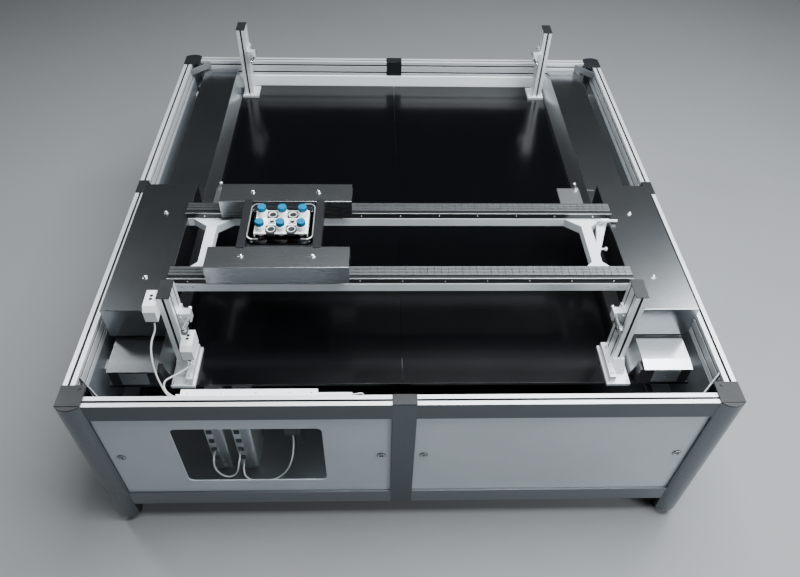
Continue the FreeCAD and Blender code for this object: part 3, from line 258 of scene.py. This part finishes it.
def rail_faces(name, axis):
    """Frame rails: silvery faces, painted shade in the slots, and painted shade on the faces that
    look outward.
    """
    slot_depth = (1.0615, 1.0985)
    slot_height = (0.7015, 0.7785)
    made = Shader(name, (0.66, 0.68, 0.70), 0.55, 0.44)
    made.round_edges(EDGE)
    across = "Y" if axis == "X" else "X"
    outward = made.maths("GREATER_THAN", made.maths("ABSOLUTE", made.axis(across)), FRAME_OUTSIDE)
    lines = made.noise(DIE_LINES, 3, 0.6, along(axis, DIE_LINE_STRETCH))
    grain = made.noise(FINE_GRAIN, 2, 0.5)
    made.tint(lines, 0.96, 1.04)
    # Painted shade: the faces that look outward are turned dark grey as if in shade.
    made.color_out = made.mix_color(outward, made.color_out, (0.10, 0.11, 0.12, 1.0))
    # Painted shade in the slots.
    paint_slot_shade(made, inside_slots(made, ((across, *slot_depth), ("Z", *slot_height))))
    made.gloss(lines, -0.015, 0.015)
    return made.bump(grain, 0.04, 0.0001).done()


def coated(name, color, roughness, peel, metallic=0.0, dust=0.0, **sockets):
    """Powder coat or paint: orange peel, broad gloss changes and a little settled dust."""
    made = Shader(name, color, metallic, roughness, **sockets)
    made.round_edges(COAT_EDGE)
    clouds = made.noise(3.0, 3, 0.6)
    made.tint(clouds, 0.94, 1.06)
    made.gloss(clouds, -0.012, 0.012)
    if dust:
        specks = made.noise(300, 6, 0.8)
        grime = made.noise(14, 5, 0.65)
        made.gloss(specks, 0.0, dust, 0.6, 0.8).gloss(grime, 0.0, dust * 0.6, 0.5, 0.8)
    if peel:
        made.bump(made.noise(PEEL, 2, 0.5), peel, 0.0003)
    return made.done()


def moulded(name, color, roughness=0.42, texture=0.10, **sockets):
    """Moulded plastic with a fine spark texture and slight gloss changes."""
    made = Shader(name, color, 0.0, roughness, **sockets)
    made.round_edges(PLASTIC_EDGE)
    spark = made.noise(SPARK, 2, 0.6)
    clouds = made.noise(9.0, 2, 0.5)
    made.tint(clouds, 0.96, 1.04)
    made.gloss(clouds, -0.04, 0.05).gloss(spark, -0.03, 0.03)
    return made.bump(spark, texture, 0.0002).done()


def clear_plastic(name, color, roughness, rim_from=None, ior=1.49):
    """Clear acrylic; above rim_from its cut edge turns white, most at the front corners."""
    made = Shader(name, color, 0.0, roughness, IOR=ior, Transmission_Weight=1.0)
    scratches = made.noise(700, 4, 0.7, (1.0, 0.05, 1.0))
    made.gloss(scratches, 0.0, 0.08, 0.62, 0.8)
    if rim_from is not None:
        rim = made.spread(made.axis("Z"), 0.0, 1.0, rim_from, rim_from + 0.0004)
        made.color_out = made.mix_color(rim, made.color, (0.80, 0.84, 0.86, 1.0))
        across = made.maths("ABSOLUTE", made.maths("ADD", made.axis("X"), -TRAY_MIDDLE_X))
        corner = made.maths("MULTIPLY", made.maths("GREATER_THAN", across, TRAY_CORNER_REACH),
                            made.maths("LESS_THAN", made.axis("Y"), TRAY_CORNER_BACK))
        frosted = made.maths("MULTIPLY", rim, made.maths("MULTIPLY_ADD", corner, 0.6, 0.22))
        made.link(made.maths("SUBTRACT", 1.0, frosted), made.shader.inputs["Transmission Weight"])
    return made.done()


def magnet_faces(name, color):
    """Ground and plated magnet tiles, each a little different from its neighbours."""
    made = Shader(name, color, 1.0, 0.34)
    snap = made.node("ShaderNodeVectorMath", operation="SNAP")
    snap.inputs[1].default_value = (TILE_PITCH * MM, TILE_ROW_PITCH * MM, 1.0)
    made.link(made.coords, snap.inputs[0])
    cell = made.node("ShaderNodeTexWhiteNoise")
    made.link(snap.outputs[0], cell.inputs["Vector"])
    grain = made.noise(GRAIN, 3, 0.6, along("Y"))
    made.tint(cell.outputs["Value"], 0.88, 1.12, 0.0, 1.0)
    made.tint(grain, 0.96, 1.04)
    return made.bump(grain, 0.02, 0.0002).done()


def liner_faces(name):
    """Inner linings: the back one white, the side ones a darker grey."""
    made = Shader(name, (0.80, 0.83, 0.85), 0.1, 0.42)
    made.round_edges(COAT_EDGE)
    side = made.maths("GREATER_THAN", made.maths("ABSOLUTE", made.axis("X")), LINER_SIDE)
    clouds = made.noise(3.0, 3, 0.6)
    made.tint(clouds, 0.96, 1.04)
    made.color_out = made.mix_color(side, made.color_out, (0.12, 0.13, 0.14, 1.0))
    made.gloss(clouds, -0.03, 0.03)
    return made.done()


def end_block_faces(name):
    """The track end: its block painted near black as the shadow under the nose, and its aluminium
    plate, told apart by where the face lies.
    """
    # Painted shadow: the near-black colour of the block under the nose.
    made = Shader(name, (0.012, 0.012, 0.014), 0.0, 0.35)
    made.round_edges(COAT_EDGE)
    front = made.maths("LESS_THAN", made.axis("Y"), TRACK_END_FRONT)
    grain = made.noise(900, 3, 0.6, along("X"))
    steel = made.mix_color(made.spread(grain, 0, 1), (0.42, 0.44, 0.45, 1), (0.54, 0.56, 0.57, 1))
    made.color_out = made.mix_color(front, made.color, steel)
    made.link(front, made.shader.inputs["Metallic"])
    return made.bump(grain, 0.05, 0.0002).done()


def controller_faces(name):
    """The brushed drive controllers, and the dark junction box to their right."""
    made = Shader(name, (0.85, 0.86, 0.87), 1.0, 0.36)
    made.round_edges(EDGE)
    grain = made.noise(GRAIN, 3, 0.6, along("Z"))
    made.tint(grain, 0.94, 1.06)
    box = made.maths("GREATER_THAN", made.axis("X"), JUNCTION_BOX_LEFT)
    made.color_out = made.mix_color(box, made.color_out, (0.05, 0.053, 0.058, 1.0))
    made.gloss(grain, -0.02, 0.02)
    return made.bump(grain, 0.02, 0.0002).done()


MATERIALS = {
    # Painted shade: legs, mid posts, bottom rails and corner brackets are the frame's aluminium
    # darkened to how their faces lie in shade; the rails and guide posts keep the lit colour.
    "leg": anodised("leg_aluminium_painted_shade", (0.17, 0.183, 0.196), "Z", 0.27, contrast=0.008),
    "rail_x": rail_faces("rail_aluminium_x", "X"),
    "rail_y": rail_faces("rail_aluminium_y", "Y"),
    # Painted shade: the mid posts' aluminium darkened.
    "mid_post": anodised("mid_post_aluminium_painted_shade", (0.125, 0.137, 0.15), "Z", 0.34),
    "post": anodised("guide_post_aluminium", (0.80, 0.82, 0.84), "Z", 0.42, metallic=0.5, slots=(
        (("X", 0.7455, 0.7825), ("Y", 0.7745, 0.8515)),
        (("X", 0.7455, 0.7825), ("Y", 0.9365, 1.0135)))),
    # Painted shade: the bottom rails' aluminium darkened.
    "low_rail": anodised("bottom_rail_aluminium_painted_shade", (0.22, 0.235, 0.25), "X", 0.38),
    "sheet": brushed("stop_plate_sheet", (0.62, 0.63, 0.64), "Y", 0.30),
    "beam": brushed("track_beam_aluminium", (0.60, 0.62, 0.63), "Y", 0.30),
    "foot": anodised("foot_aluminium", (0.72, 0.74, 0.76), "Y", 0.38, metallic=0.6),
    # Painted shade: the corner brackets darkened to the shade in the inner corners.
    "bracket": anodised("bracket_aluminium_painted_shade", (0.18, 0.19, 0.20), "Z", 0.42, metallic=0.6),
    "cap": moulded("cap_plastic", (0.010, 0.011, 0.0125), 0.44, Specular_IOR_Level=0.3),
    "black_cap": moulded("black_cap_plastic", (0.013, 0.014, 0.0155), 0.44,
                         Specular_IOR_Level=0.35),
    "panel": coated("panel_coat", (0.48, 0.515, 0.545), 0.42, 0.05, metallic=0.3),
    "pane": clear_plastic("pane_clear", (0.80, 0.85, 0.87), 0.02, ior=1.15),
    "lock": brushed("lock_zinc", (0.10, 0.105, 0.11), "X", 0.35),
    "base": coated("base_gloss_black", (0.0010, 0.0012, 0.0015), 0.17, 0.0, dust=0.006, IOR=1.5),
    "liner": liner_faces("liner_coat"),
    "cover_x": brushed("stainless_x", (0.40, 0.415, 0.43), "X", 0.27),
    "cover_y": brushed("stainless_y", (0.37, 0.385, 0.40), "Y", 0.23),
    "track_sheet": brushed("track_sheet_stainless", (0.36, 0.375, 0.39), "Y", 0.25),
    # Painted shade: the cabinet floor's stainless is darkened to the shade inside the cabinet.
    "floor_sheet": brushed("floor_sheet_stainless_painted_shade", (0.06, 0.066, 0.072), "X", 0.34),
    "magnet": magnet_faces("magnet_tiles", (0.29, 0.30, 0.31)),
    "vessel": brushed("vessel_steel", (0.30, 0.31, 0.32), "X", 0.40),
    "rail_black": coated("rail_black_anodised", (0.010, 0.0105, 0.012), 0.36, 0.08),
    "white": coated("frame_white_coat", (0.58, 0.61, 0.63), 0.34, 0.05),
    "steel": brushed("screw_steel", (0.66, 0.67, 0.68), "X", 0.22, edge=0.0004),
    "sensor": moulded("sensor_plastic", (0.62, 0.64, 0.65), 0.40),
    "cable": moulded("cable_jacket", (0.66, 0.67, 0.65), 0.46, 0.06),
    "lamp": moulded("lamp_diffuser", (0.84, 0.86, 0.87), 0.34),
    "controller": controller_faces("controller_aluminium"),
    "tray": clear_plastic("tray_acrylic", (0.92, 0.95, 0.96), 0.03, rim_from=TRAY_RIM_FROM),
    "rack": moulded("rack_plastic", (0.82, 0.84, 0.85), 0.38),
    "bottle": moulded("bottle_polyethylene", (0.86, 0.88, 0.89), 0.32, 0.04,
                      Subsurface_Weight=0.25, Subsurface_Scale=0.004),
    "blue": moulded("cap_blue_plastic", (0.0, 0.115, 0.22), 0.42, 0.04, Specular_IOR_Level=0.08),
    "end_block": end_block_faces("track_end_faces"),
    "glass_black": moulded("lens_black", (0.01, 0.01, 0.012), 0.08, 0.0),
    "edge": brushed("edge_aluminium", (0.40, 0.42, 0.43), "X", 0.30, edge=0.0005),
    # Painted shade round and in the rack's places and at its front.
    "rack_shade": moulded("rack_painted_shade_black", (0.02, 0.021, 0.023), 0.42),
}

NODE_LOOKS = {
    "leg": ["corner_leg_front_left", "corner_leg_front_right", "corner_leg_back_left",
            "corner_leg_back_right"],
    "rail_x": ["top_rails_front", "top_rails_back", "plate_supports"],
    "rail_y": ["top_rails_sides"],
    "mid_post": ["mid_posts"],
    "low_rail": ["bottom_rails"],
    "cap": ["frame_caps"],
    "black_cap": ["post_caps", "levelling_feet"],
    "panel": ["front_window_panel", "front_plain_panel", "side_panels", "back_panels"],
    "pane": ["window_pane"],
    "lock": ["panel_lock_1", "panel_lock_2", "panel_lock_3", "panel_lock_4"],
    "base": ["base_plates"],
    "liner": ["inner_liners"],
    "floor_sheet": ["cabinet_floor"],
    "beam": ["track_beams"],
    "track_sheet": ["track_covers"],
    "magnet": ["track_magnets", "rail_magnets"],
    "end_block": ["track_end_plates"],
    "post": ["guide_posts_front", "guide_posts_back"],
    "foot": ["post_feet", "stop_brackets"],
    "bracket": ["corner_brackets"],
    "sheet": ["stop_plates"],
    "steel": ["stop_dampers", "end_cover_knobs", "carriage_screws"],
    "sensor": ["sensor_boxes"],
    "cable": ["sensor_cable_upper", "sensor_cable_lower", "controller_cables"],
    "lamp": ["light_bar"],
    "controller": ["controllers"],
    "cover_y": ["end_cover_left", "end_cover_right"],
    "vessel": ["end_cryostats", "carriage_cryostats"],
    "rail_black": ["cross_rails", "bridge_plate"],
    "white": ["frame_tubes", "cross_members", "frame_brace"],
    "cover_x": ["carriage_cover_back", "carriage_cover_front"],
    "tray": ["tray"],
    "rack": ["bottle_rack"],
    "bottle": ["bottles"],
    "blue": ["bottle_caps"],
}


def paint_nodes():
    for look, names in NODE_LOOKS.items():
        for name in names:
            mesh = NODES[name].data
            mesh.materials.clear()
            mesh.materials.append(MATERIALS[look])


# ------------------------------------------------------------------ mesh building blocks

def mark_edges(bm):
    """Smooth faces with sharp edges where the surface turns."""
    for face in bm.faces:
        face.smooth = True
    for edge in bm.edges:
        if len(edge.link_faces) == 2 and edge.calc_face_angle(0.0) > SHARP_ANGLE:
            edge.smooth = False


def piece(name, bm, look, body):
    """Turns built geometry into a piece that rides on a body."""
    mark_edges(bm)
    mesh = bpy.data.meshes.new(name)
    bm.to_mesh(mesh)
    bm.free()
    mesh.materials.append(MATERIALS[look])
    obj = bpy.data.objects.new(name, mesh)
    bpy.context.scene.collection.objects.link(obj)
    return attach(obj, body)


def add_block(bm, low, high, bevel=0.0006, segments=2):
    """A block between two corners in millimetres; bevel, its broken edge, is in metres."""
    low = Vector(low) * MM
    high = Vector(high) * MM
    made = bmesh.ops.create_cube(bm, size=1.0)["verts"]
    size = high - low
    bmesh.ops.scale(bm, vec=size, verts=made)
    bmesh.ops.translate(bm, vec=(low + high) / 2, verts=made)
    edges = list(dict.fromkeys(edge for vert in made for edge in vert.link_edges))
    bmesh.ops.bevel(bm, geom=edges, offset=bevel, segments=segments, profile=0.5,
                    affect="EDGES", clamp_overlap=True)


AXES = {
    "+z": Matrix.Identity(3),
    "-z": Matrix.Rotation(math.pi, 3, "X"),
    "+y": Matrix.Rotation(-math.pi / 2, 3, "X"),
    "-y": Matrix.Rotation(math.pi / 2, 3, "X"),
    "+x": Matrix.Rotation(math.pi / 2, 3, "Y"),
    "-x": Matrix.Rotation(-math.pi / 2, 3, "Y"),
}


def add_turned(bm, profile, centre, axis="+z", count=48, shape=None):
    """A turned solid: (radius, height) pairs in millimetres, out from the axis and back to it, or
    round to the first pair for a ring.

    shape(step, angle) may scale the radius of each profile point for ribs or a hex socket."""
    turn = AXES[axis]
    origin = Vector(centre) * MM
    rings = []
    for step, (radius, height) in enumerate(profile):
        if radius <= 0:
            rings.append([bm.verts.new(origin + turn @ Vector((0, 0, height * MM)))])
            continue
        ring = []
        for index in range(count):
            angle = 2 * math.pi * index / count
            reach = radius * (shape(step, angle) if shape else 1.0) * MM
            spot = Vector((reach * math.cos(angle), reach * math.sin(angle), height * MM))
            ring.append(bm.verts.new(origin + turn @ spot))
        rings.append(ring)
    for lower, upper in zip(rings, rings[1:]):
        for index in range(count):
            after = (index + 1) % count
            if len(lower) == 1:
                bm.faces.new((lower[0], upper[after], upper[index]))
            elif len(upper) == 1:
                bm.faces.new((lower[index], lower[after], upper[0]))
            else:
                bm.faces.new((lower[index], lower[after], upper[after], upper[index]))


def hexagon(angle):
    """The radius of a hexagon of unit circumradius at an angle."""
    sector = math.pi / 3
    return math.cos(sector / 2) / math.cos((angle % sector) - sector / 2)


def add_cap_screw(bm, centre, axis="+z", radius=6.5, height=6.0):
    """A socket head screw: knurled side, broken rim and a hexagonal socket."""
    socket = radius * 0.52
    rim = 0.6
    knurls = 24
    side_steps = (1, 2)
    socket_steps = (4, 5)
    profile = [(0, 0), (radius, 0), (radius, height - rim), (radius - rim, height),
               (socket, height), (socket * 0.98, height * 0.45), (0, height * 0.42)]

    def shape(step, angle):
        if step in socket_steps:
            return hexagon(angle)
        if step in side_steps:
            return 1.0 - 0.02 * (math.cos(angle * knurls) > 0)
        return 1.0
    add_turned(bm, profile, centre, axis, 48, shape)


def add_washer(bm, centre, inner, outer, height=1.2):
    edge = 0.3
    profile = [(inner, 0), (outer, 0), (outer, height - edge), (outer - edge, height),
               (inner, height), (inner, 0)]
    add_turned(bm, profile, centre, count=40)


def corner_mm(node):
    """A node's lowest and highest corner in millimetres."""
    low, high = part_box(node)
    return low / MM, high / MM


# ------------------------------------------------------------------ cables

CORD_DIAMETER = 0.006
# name: (CAD node it replaces, length, route), in metres
CORDS = {
    "upper_sensor_lead": ("sensor_cable_upper", 0.45, (
        (-0.80375, -0.878, 0.931), (-0.80375, -0.878, 0.900), (-0.823, -0.910, 0.864),
        (-0.823, -0.942, 0.820), (-0.822, -0.956, 0.765), (-0.812, -0.970, 0.712),
        (-0.795, -0.985, 0.668), (-0.750, -0.990, 0.622), (-0.694, -0.978, 0.600),
        (-0.694, -0.978, 0.560))),
    "lower_sensor_lead": ("sensor_cable_lower", 0.355, (
        (-0.72425, -0.888, 0.744), (-0.72425, -0.888, 0.718), (-0.752, -0.910, 0.709),
        (-0.784, -0.928, 0.704), (-0.812, -0.946, 0.700), (-0.808, -0.968, 0.674),
        (-0.775, -0.974, 0.640), (-0.720, -0.962, 0.612), (-0.664, -0.945, 0.602),
        (-0.664, -0.945, 0.560))),
    "controller_loop_1": ("controller_cables", 0.27, (
        (-0.694, -1.000, 0.330), (-0.694, -1.048, 0.330), (-0.682, -1.056, 0.272),
        (-0.648, -1.058, 0.240), (-0.612, -1.056, 0.266), (-0.600, -1.046, 0.322),
        (-0.600, -1.000, 0.322))),
    "controller_loop_2": ("controller_cables", 0.44, (
        (-0.594, -1.000, 0.262), (-0.594, -1.050, 0.262), (-0.572, -1.060, 0.222),
        (-0.520, -1.058, 0.208), (-0.465, -1.054, 0.222), (-0.425, -1.046, 0.270),
        (-0.402, -1.026, 0.332), (-0.398, -0.980, 0.385), (-0.398, -0.980, 0.440))),
}


def build_cords():
    """The sensor leads and the controller loops, hanging between their two ends in the machine."""
    for name, (node, length, route) in CORDS.items():
        curve = bpy.data.curves.new(name, "CURVE")
        curve.dimensions = "3D"
        curve.resolution_u = 16
        curve.bevel_depth = CORD_DIAMETER / 2
        curve.bevel_resolution = 6
        curve.use_fill_caps = True
        spline = curve.splines.new("NURBS")
        spline.points.add(len(route) - 1)
        for point, spot in zip(spline.points, route):
            point.co = spot + (1.0,)
        spline.order_u = 3
        spline.use_endpoint_u = True
        curve.materials.append(MATERIALS["cable"])
        cord = bpy.data.objects.new(name, curve)
        bpy.context.scene.collection.objects.link(cord)
        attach(cord, "machine_frame")
        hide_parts(node)


# ------------------------------------------------------------------ gantry bridge details

RAIL_MIDDLES = (-630.0, -284.0)   # y of the two cross rails' middles
RAIL_HALF = 31.0
FIRST_ROW = 13                    # from a rail's front face to its first magnet row
ROW_WIDTH = 13
SHORTEST_TILE = 5
END_KNOB_X = 900
CARRIAGE_KNOBS_X = (-555.0, -309.0)


def build_magnet_tiles():
    """Separate magnet tiles in three rows on each rail, replacing the plain strips."""
    low, high = corner_mm("rail_magnets")
    rng = random.Random(7)
    bm = bmesh.new()
    gap_x = 0.3
    gap_y = 0.2
    count = int((high.x - low.x) / TILE_PITCH)
    start = -count * TILE_PITCH / 2
    for middle in RAIL_MIDDLES:
        for row in range(3):
            low_y = middle - RAIL_HALF + FIRST_ROW + TILE_ROW_PITCH * row
            for index in range(count + 1):
                left = max(low.x, start + TILE_PITCH * index)
                right = min(high.x, start + TILE_PITCH * (index + 1))
                if right - left < SHORTEST_TILE:
                    continue
                lift = rng.uniform(-0.06, 0.0)
                add_block(bm, (left + gap_x, low_y + gap_y, low.z),
                          (right - gap_x, low_y + ROW_WIDTH - gap_y, high.z + lift), 0.0007, 1)
    tiles = piece("rail_magnet_tiles", bm, "magnet", "gantry")
    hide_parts("rail_magnets")


def build_rail_trim():
    """Bright edge strips on the rails and the screws on their front faces."""
    low, high = corner_mm("cross_rails")
    strips = bmesh.new()
    screws = bmesh.new()
    screw_pitch = 149.0
    for middle in RAIL_MIDDLES:
        front = middle - RAIL_HALF
        add_block(strips, (low.x, front - 0.6, high.z - 3),
                  (high.x, front + 2.6, high.z + 0.8))
        for index in range(-5, 6):
            add_cap_screw(screws, (index * screw_pitch, front - 0.2, high.z - 12), "-y", 3.6, 2.4)
    piece("rail_edge_strips", strips, "edge", "gantry")
    piece("rail_face_screws", screws, "steel", "gantry")


def build_cover_fixings():
    """Washers under the cover knobs."""
    bm = bmesh.new()
    for side in (-1, 1):
        for middle in RAIL_MIDDLES:
            add_washer(bm, (END_KNOB_X * side, middle + 1, 880), inner=6.5, outer=9.5)
    piece("end_cover_washers", bm, "steel", "gantry")
    bm = bmesh.new()
    for middle in RAIL_MIDDLES:
        for x in CARRIAGE_KNOBS_X:
            add_washer(bm, (x, middle + 4, 980), inner=6.5, outer=9.5)
    piece("carriage_cover_washers", bm, "steel", "carriage")


# ------------------------------------------------------------------ bottles and rack

BOTTLE_X = (-503.5, -430.5, -357.5)
BOTTLE_Y = (-488.5, -410.5)
PLACE_X = (-467.0, -394.0)        # the rack's empty places, between the bottles


def build_bottle_caps():
    """Screw caps with a tamper ring, a ribbed side and a rounded rim."""
    low, high = corner_mm("bottle_caps")
    tall = high.z - low.z
    bm = bmesh.new()
    profile = [(12.6, 0), (15.9, 0), (15.9, 2.2), (15.2, 2.6), (15.2, 3.0), (16.0, 3.4),
               (16.0, tall - 2.2), (15.4, tall - 0.9), (14.2, tall - 0.25), (12.0, tall),
               (0, tall - 0.5)]

    rib_count = 40
    ribbed_steps = (5, 6)

    def ribs(step, angle):
        if step in ribbed_steps:
            return 1.0 - 0.035 * (0.5 + 0.5 * math.cos(angle * rib_count))
        return 1.0
    for x in BOTTLE_X:
        for y in BOTTLE_Y:
            add_turned(bm, profile, (x, y, low.z), count=160, shape=ribs)
    caps = piece("ribbed_bottle_caps", bm, "blue", "bottle_set")
    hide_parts("bottle_caps")


def build_rack_places():
    """White ring sockets at the rack's empty places, with painted shade: dark squares round them,
    dark discs down in them and dark blocks at the front between the bottles.
    """
    low, high = corner_mm("bottle_rack")
    top = high.z
    wall = 2.6
    rings = bmesh.new()
    shade_patches = bmesh.new()
    middle = sum(BOTTLE_Y) / 2
    # y, outer radius of the ring, half the side of the painted shade square
    places = ((BOTTLE_Y[0], 16.0, 19.5), (middle, 11.5, 12.0), (BOTTLE_Y[1], 16.0, 19.5))
    for x in PLACE_X:
        for y, edge, half in places:
            inner = edge - wall
            add_turned(rings, [(inner, -1.5), (edge, -1.5), (edge, 1.2), (edge - 0.4, 1.6),
                               (inner + 0.4, 1.6), (inner, 1.2), (inner, -1.5)], (x, y, top))
            # Painted shade: a dark square round each ring and a dark disc down in its hole.
            add_square_ring(shade_patches, x, y, top, half, edge)
            add_turned(shade_patches, [(0, -1.4), (inner, -1.4), (inner, -0.4), (0, -0.4)], (x, y, top),
                       count=32)
        # Painted shade: a dark block at the rack's front edge, between the bottles.
        add_block(shade_patches, (x - 14.5, low.y - 0.4, top - 13), (x + 14.5, low.y + 4.5, top + 0.5),
                  0.0003)
    piece("rack_ring_sockets", rings, "rack", "bottle_set")
    piece("rack_painted_shade", shade_patches, "rack_shade", "bottle_set")


def add_square_ring(bm, x, y, z, half, hole, height=0.7, count=48):
    """A thin square plate with a round hole."""
    levels = []
    for level in (z, z + height):
        inner = []
        outer = []
        for index in range(count):
            angle = 2 * math.pi * index / count + math.pi / count
            across = Vector((math.cos(angle), math.sin(angle), 0))
            scale = half / max(abs(across.x), abs(across.y))
            inner.append(bm.verts.new((Vector((x, y, level)) + across * hole) * MM))
            outer.append(bm.verts.new((Vector((x, y, level)) + across * scale) * MM))
        levels.append((inner, outer))
    (low_in, low_out), (top_in, top_out) = levels
    for index in range(count):
        after = (index + 1) % count
        bm.faces.new((top_in[index], top_out[index], top_out[after], top_in[after]))
        bm.faces.new((low_in[after], low_out[after], low_out[index], low_in[index]))
        bm.faces.new((low_out[index], low_out[after], top_out[after], top_out[index]))
        bm.faces.new((low_in[after], low_in[index], top_in[index], top_in[after]))


# ------------------------------------------------------------------ frame details

# Heights of the screws, in millimetres; their x and y below are mirrored to the left side.
FOOT_TOP = 657
CLAMP_TOP = 687
BRACKET_MIDDLE = 903


def build_foot_screws():
    """Socket head screws on the post feet, clamp rails, wedges and stop brackets."""
    bm = bmesh.new()
    for side in (-1, 1):
        inward = "-x" if side > 0 else "+x"
        for x, y in ((729, -925), (792, -925), (792, -780)):
            add_cap_screw(bm, (x * side, y, FOOT_TOP), "+z", 5.5, 5)
        for y in (-912, -860, -800):
            add_cap_screw(bm, (733 * side, y, CLAMP_TOP), "+z", 5.0, 4.5)
        for x in (753, 775):
            add_cap_screw(bm, (x * side, -884, 676), "-y", 4.5, 4)
        for x, y in ((724, 940), (724, 1010), (791, 940), (791, 1010)):
            add_cap_screw(bm, (x * side, y, FOOT_TOP), "+z", 5.0, 4.5)
        for y in (-834, -792, 951, 997):
            add_cap_screw(bm, (736 * side, y, BRACKET_MIDDLE), inward, 4.5, 4)
    piece("foot_screws", bm, "steel", "machine_frame")


def build_lock_inserts():
    """A bright driver slot insert and a raised ring on each panel lock."""
    face = -1095.0
    height = 455
    for index, x in enumerate((-980, -75, 75, 980), start=1):
        bm = bmesh.new()
        add_block(bm, (x - 6.5, -1094.6, height - 2), (x + 6.5, -1093.2, height + 2), 0.0003, 1)
        add_turned(bm, [(9.5, 0), (13.4, 0), (13.4, 0.5), (12.9, 0.8), (10, 0.8), (9.5, 0.5),
                        (9.5, 0)], (x, face, height), "-y", 40)
        piece(f"lock_insert_{index}", bm, "steel", f"lock_{index}")


SENSOR_CORNERS = ((-803.75, -890, 945), (-724.25, -900, 758))   # middle x, front y, bottom z


def build_sensor_details():
    """Lenses in their rims, housing screws and the cable sockets of both sensors."""
    glass = bmesh.new()
    rims = bmesh.new()
    screws = bmesh.new()
    box_height = 60
    nut_ribs = 18

    def ribs(step, angle):
        return 1 - 0.05 * (math.cos(angle * nut_ribs) > 0) * (step in (1, 2))

    for x, y, z in SENSOR_CORNERS:
        for offset in (44, 58):
            add_turned(glass, [(0, 0), (4.7, 0), (4.7, 4.2), (3.2, 4.9), (0, 5.1)],
                       (x, y + offset, z + 57), count=32)
            add_washer(rims, (x, y + offset, z + box_height), inner=4.6, outer=5.6, height=0.6)
        for step in (-13, 13):
            add_cap_screw(screws, (x + step, y + 74, z + box_height), "+z", 2.4, 1.2)
        add_turned(rims, [(4.0, 0), (7.4, 0), (7.4, 8), (6.6, 9), (4.0, 9), (4.0, 0)],
                   (x, y + 12, z - 13), count=36, shape=ribs)
    piece("sensor_lenses", glass, "glass_black", "machine_frame")
    piece("sensor_rims", rims, "black_cap", "machine_frame")
    piece("sensor_screws", screws, "steel", "machine_frame")


def build_lamp_screws():
    """The small screws along the top of the lamp bar."""
    bm = bmesh.new()
    for x in (-700, -590, -480, -370, -300):
        add_cap_screw(bm, (x, -1046, 773.5), "+z", 2.8, 2.0)
    piece("lamp_screws", bm, "steel", "machine_frame")


CONTROLLERS_LEFT = (-712, -614)
SOCKETS_BOTTOM = (282, 340, 398, 456, 500)


def build_controller_details():
    """Plugs with three wire ends in the controller sockets, and cooling fins."""
    plugs = bmesh.new()
    fins = bmesh.new()
    plug_face = -1004
    wire_pitch = 6
    fin_pitch = 3.2
    for left in CONTROLLERS_LEFT:
        for socket in SOCKETS_BOTTOM:
            add_block(plugs, (left + 10.5, plug_face, socket + 1),
                      (left + 29.5, -993.5, socket + 21))
            for wire in range(3):
                add_turned(plugs, [(0, 0), (1.6, 0), (1.6, 3.5), (0, 3.5)],
                           (left + 14 + wire * wire_pitch, plug_face, socket + 11), "-y", 12)
        for index in range(9):
            x = left + 34 + index * fin_pitch
            add_block(fins, (x, -1006, 232), (x + 1.1, -1000, 534), 0.0002, 1)
    piece("controller_plugs", plugs, "black_cap", "machine_frame")
    piece("controller_fins", fins, "controller", "machine_frame")


# ------------------------------------------------------------------ floor, light and camera

def build_stage():
    """A plain pale floor."""
    half_side = 30.0
    bm = bmesh.new()
    bmesh.ops.create_grid(bm, x_segments=1, y_segments=1, size=half_side)
    mesh = bpy.data.meshes.new("studio_floor")
    bm.to_mesh(mesh)
    bm.free()
    floor = bpy.data.objects.new("studio_floor", mesh)
    bpy.context.scene.collection.objects.link(floor)
    look = Shader("studio_floor", (0.20, 0.205, 0.21), 0.0, 0.8)
    clouds = look.noise(1.4, 3, 0.5)
    look.tint(clouds, 0.98, 1.02)
    mesh.materials.append(look.done())


# name: (place, target, size), all in metres, and power in watts
LIGHTS = {
    "overhead": ((1.2, -0.5, 4.3), (1.2, -0.5, 0.0), (3.3, 2.9), 600),
    "front": ((2.8, -3.8, 4.2), (0.9, -1.0, 0.5), (1.6, 1.2), 50),
    "front_low": ((3.0, -2.5, 1.5), (0.6, -1.1, 0.4), (0.7, 0.7), 50),
    "right": ((3.0, 1.3, 4.3), (0.6, -0.2, 0.7), (1.0, 1.15), 70),
    "left": ((-3.1, 0.9, 3.5), (-0.9, -0.2, 0.7), (0.5, 1.2), 75),
}


def build_light():
    """A faint sky and the area lights."""
    world = bpy.data.worlds.new("studio")
    world.use_nodes = True
    backdrop = world.node_tree.nodes["Background"]
    backdrop.inputs["Color"].default_value = (0.80, 0.90, 1.0, 1)
    backdrop.inputs["Strength"].default_value = 0.035
    bpy.context.scene.world = world
    for name, (place, target, size, power) in LIGHTS.items():
        light = bpy.data.lights.new(name, "AREA")
        light.shape = "RECTANGLE"
        light.size, light.size_y = size
        light.energy = power
        light.color = STUDIO_WHITE
        obj = bpy.data.objects.new(name, light)
        bpy.context.scene.collection.objects.link(obj)
        obj.location = place
        aim = Vector(target) - Vector(place)
        obj.rotation_euler = aim.to_track_quat("-Z", "Y").to_euler()


# Solved from the photo's view of the frame's corners; the columns are the camera's own axes.
CAMERA_LENS = 30.97
CAMERA_PLACE = (-0.0837, -2.3252, 2.6275)
CAMERA_AXES = Matrix(((0.99952, 0.00143, -0.03096),
                      (-0.02223, 0.72914, -0.68401),
                      (0.02159, 0.68437, 0.72882)))


def build_camera():
    """The photograph's viewpoint."""
    data = bpy.data.cameras.new("camera")
    data.lens = CAMERA_LENS
    data.sensor_width = 36.0
    camera = bpy.data.objects.new("camera", data)
    bpy.context.scene.collection.objects.link(camera)
    camera.matrix_world = Matrix.Translation(CAMERA_PLACE) @ CAMERA_AXES.to_4x4()
    bpy.context.scene.camera = camera


# ------------------------------------------------------------------ whole scene

build_camera()
build_cords()
paint_nodes()
build_magnet_tiles()
build_rail_trim()
build_cover_fixings()
build_bottle_caps()
build_rack_places()
build_foot_screws()
build_lock_inserts()
build_sensor_details()
build_lamp_screws()
build_controller_details()
build_stage()
build_light()
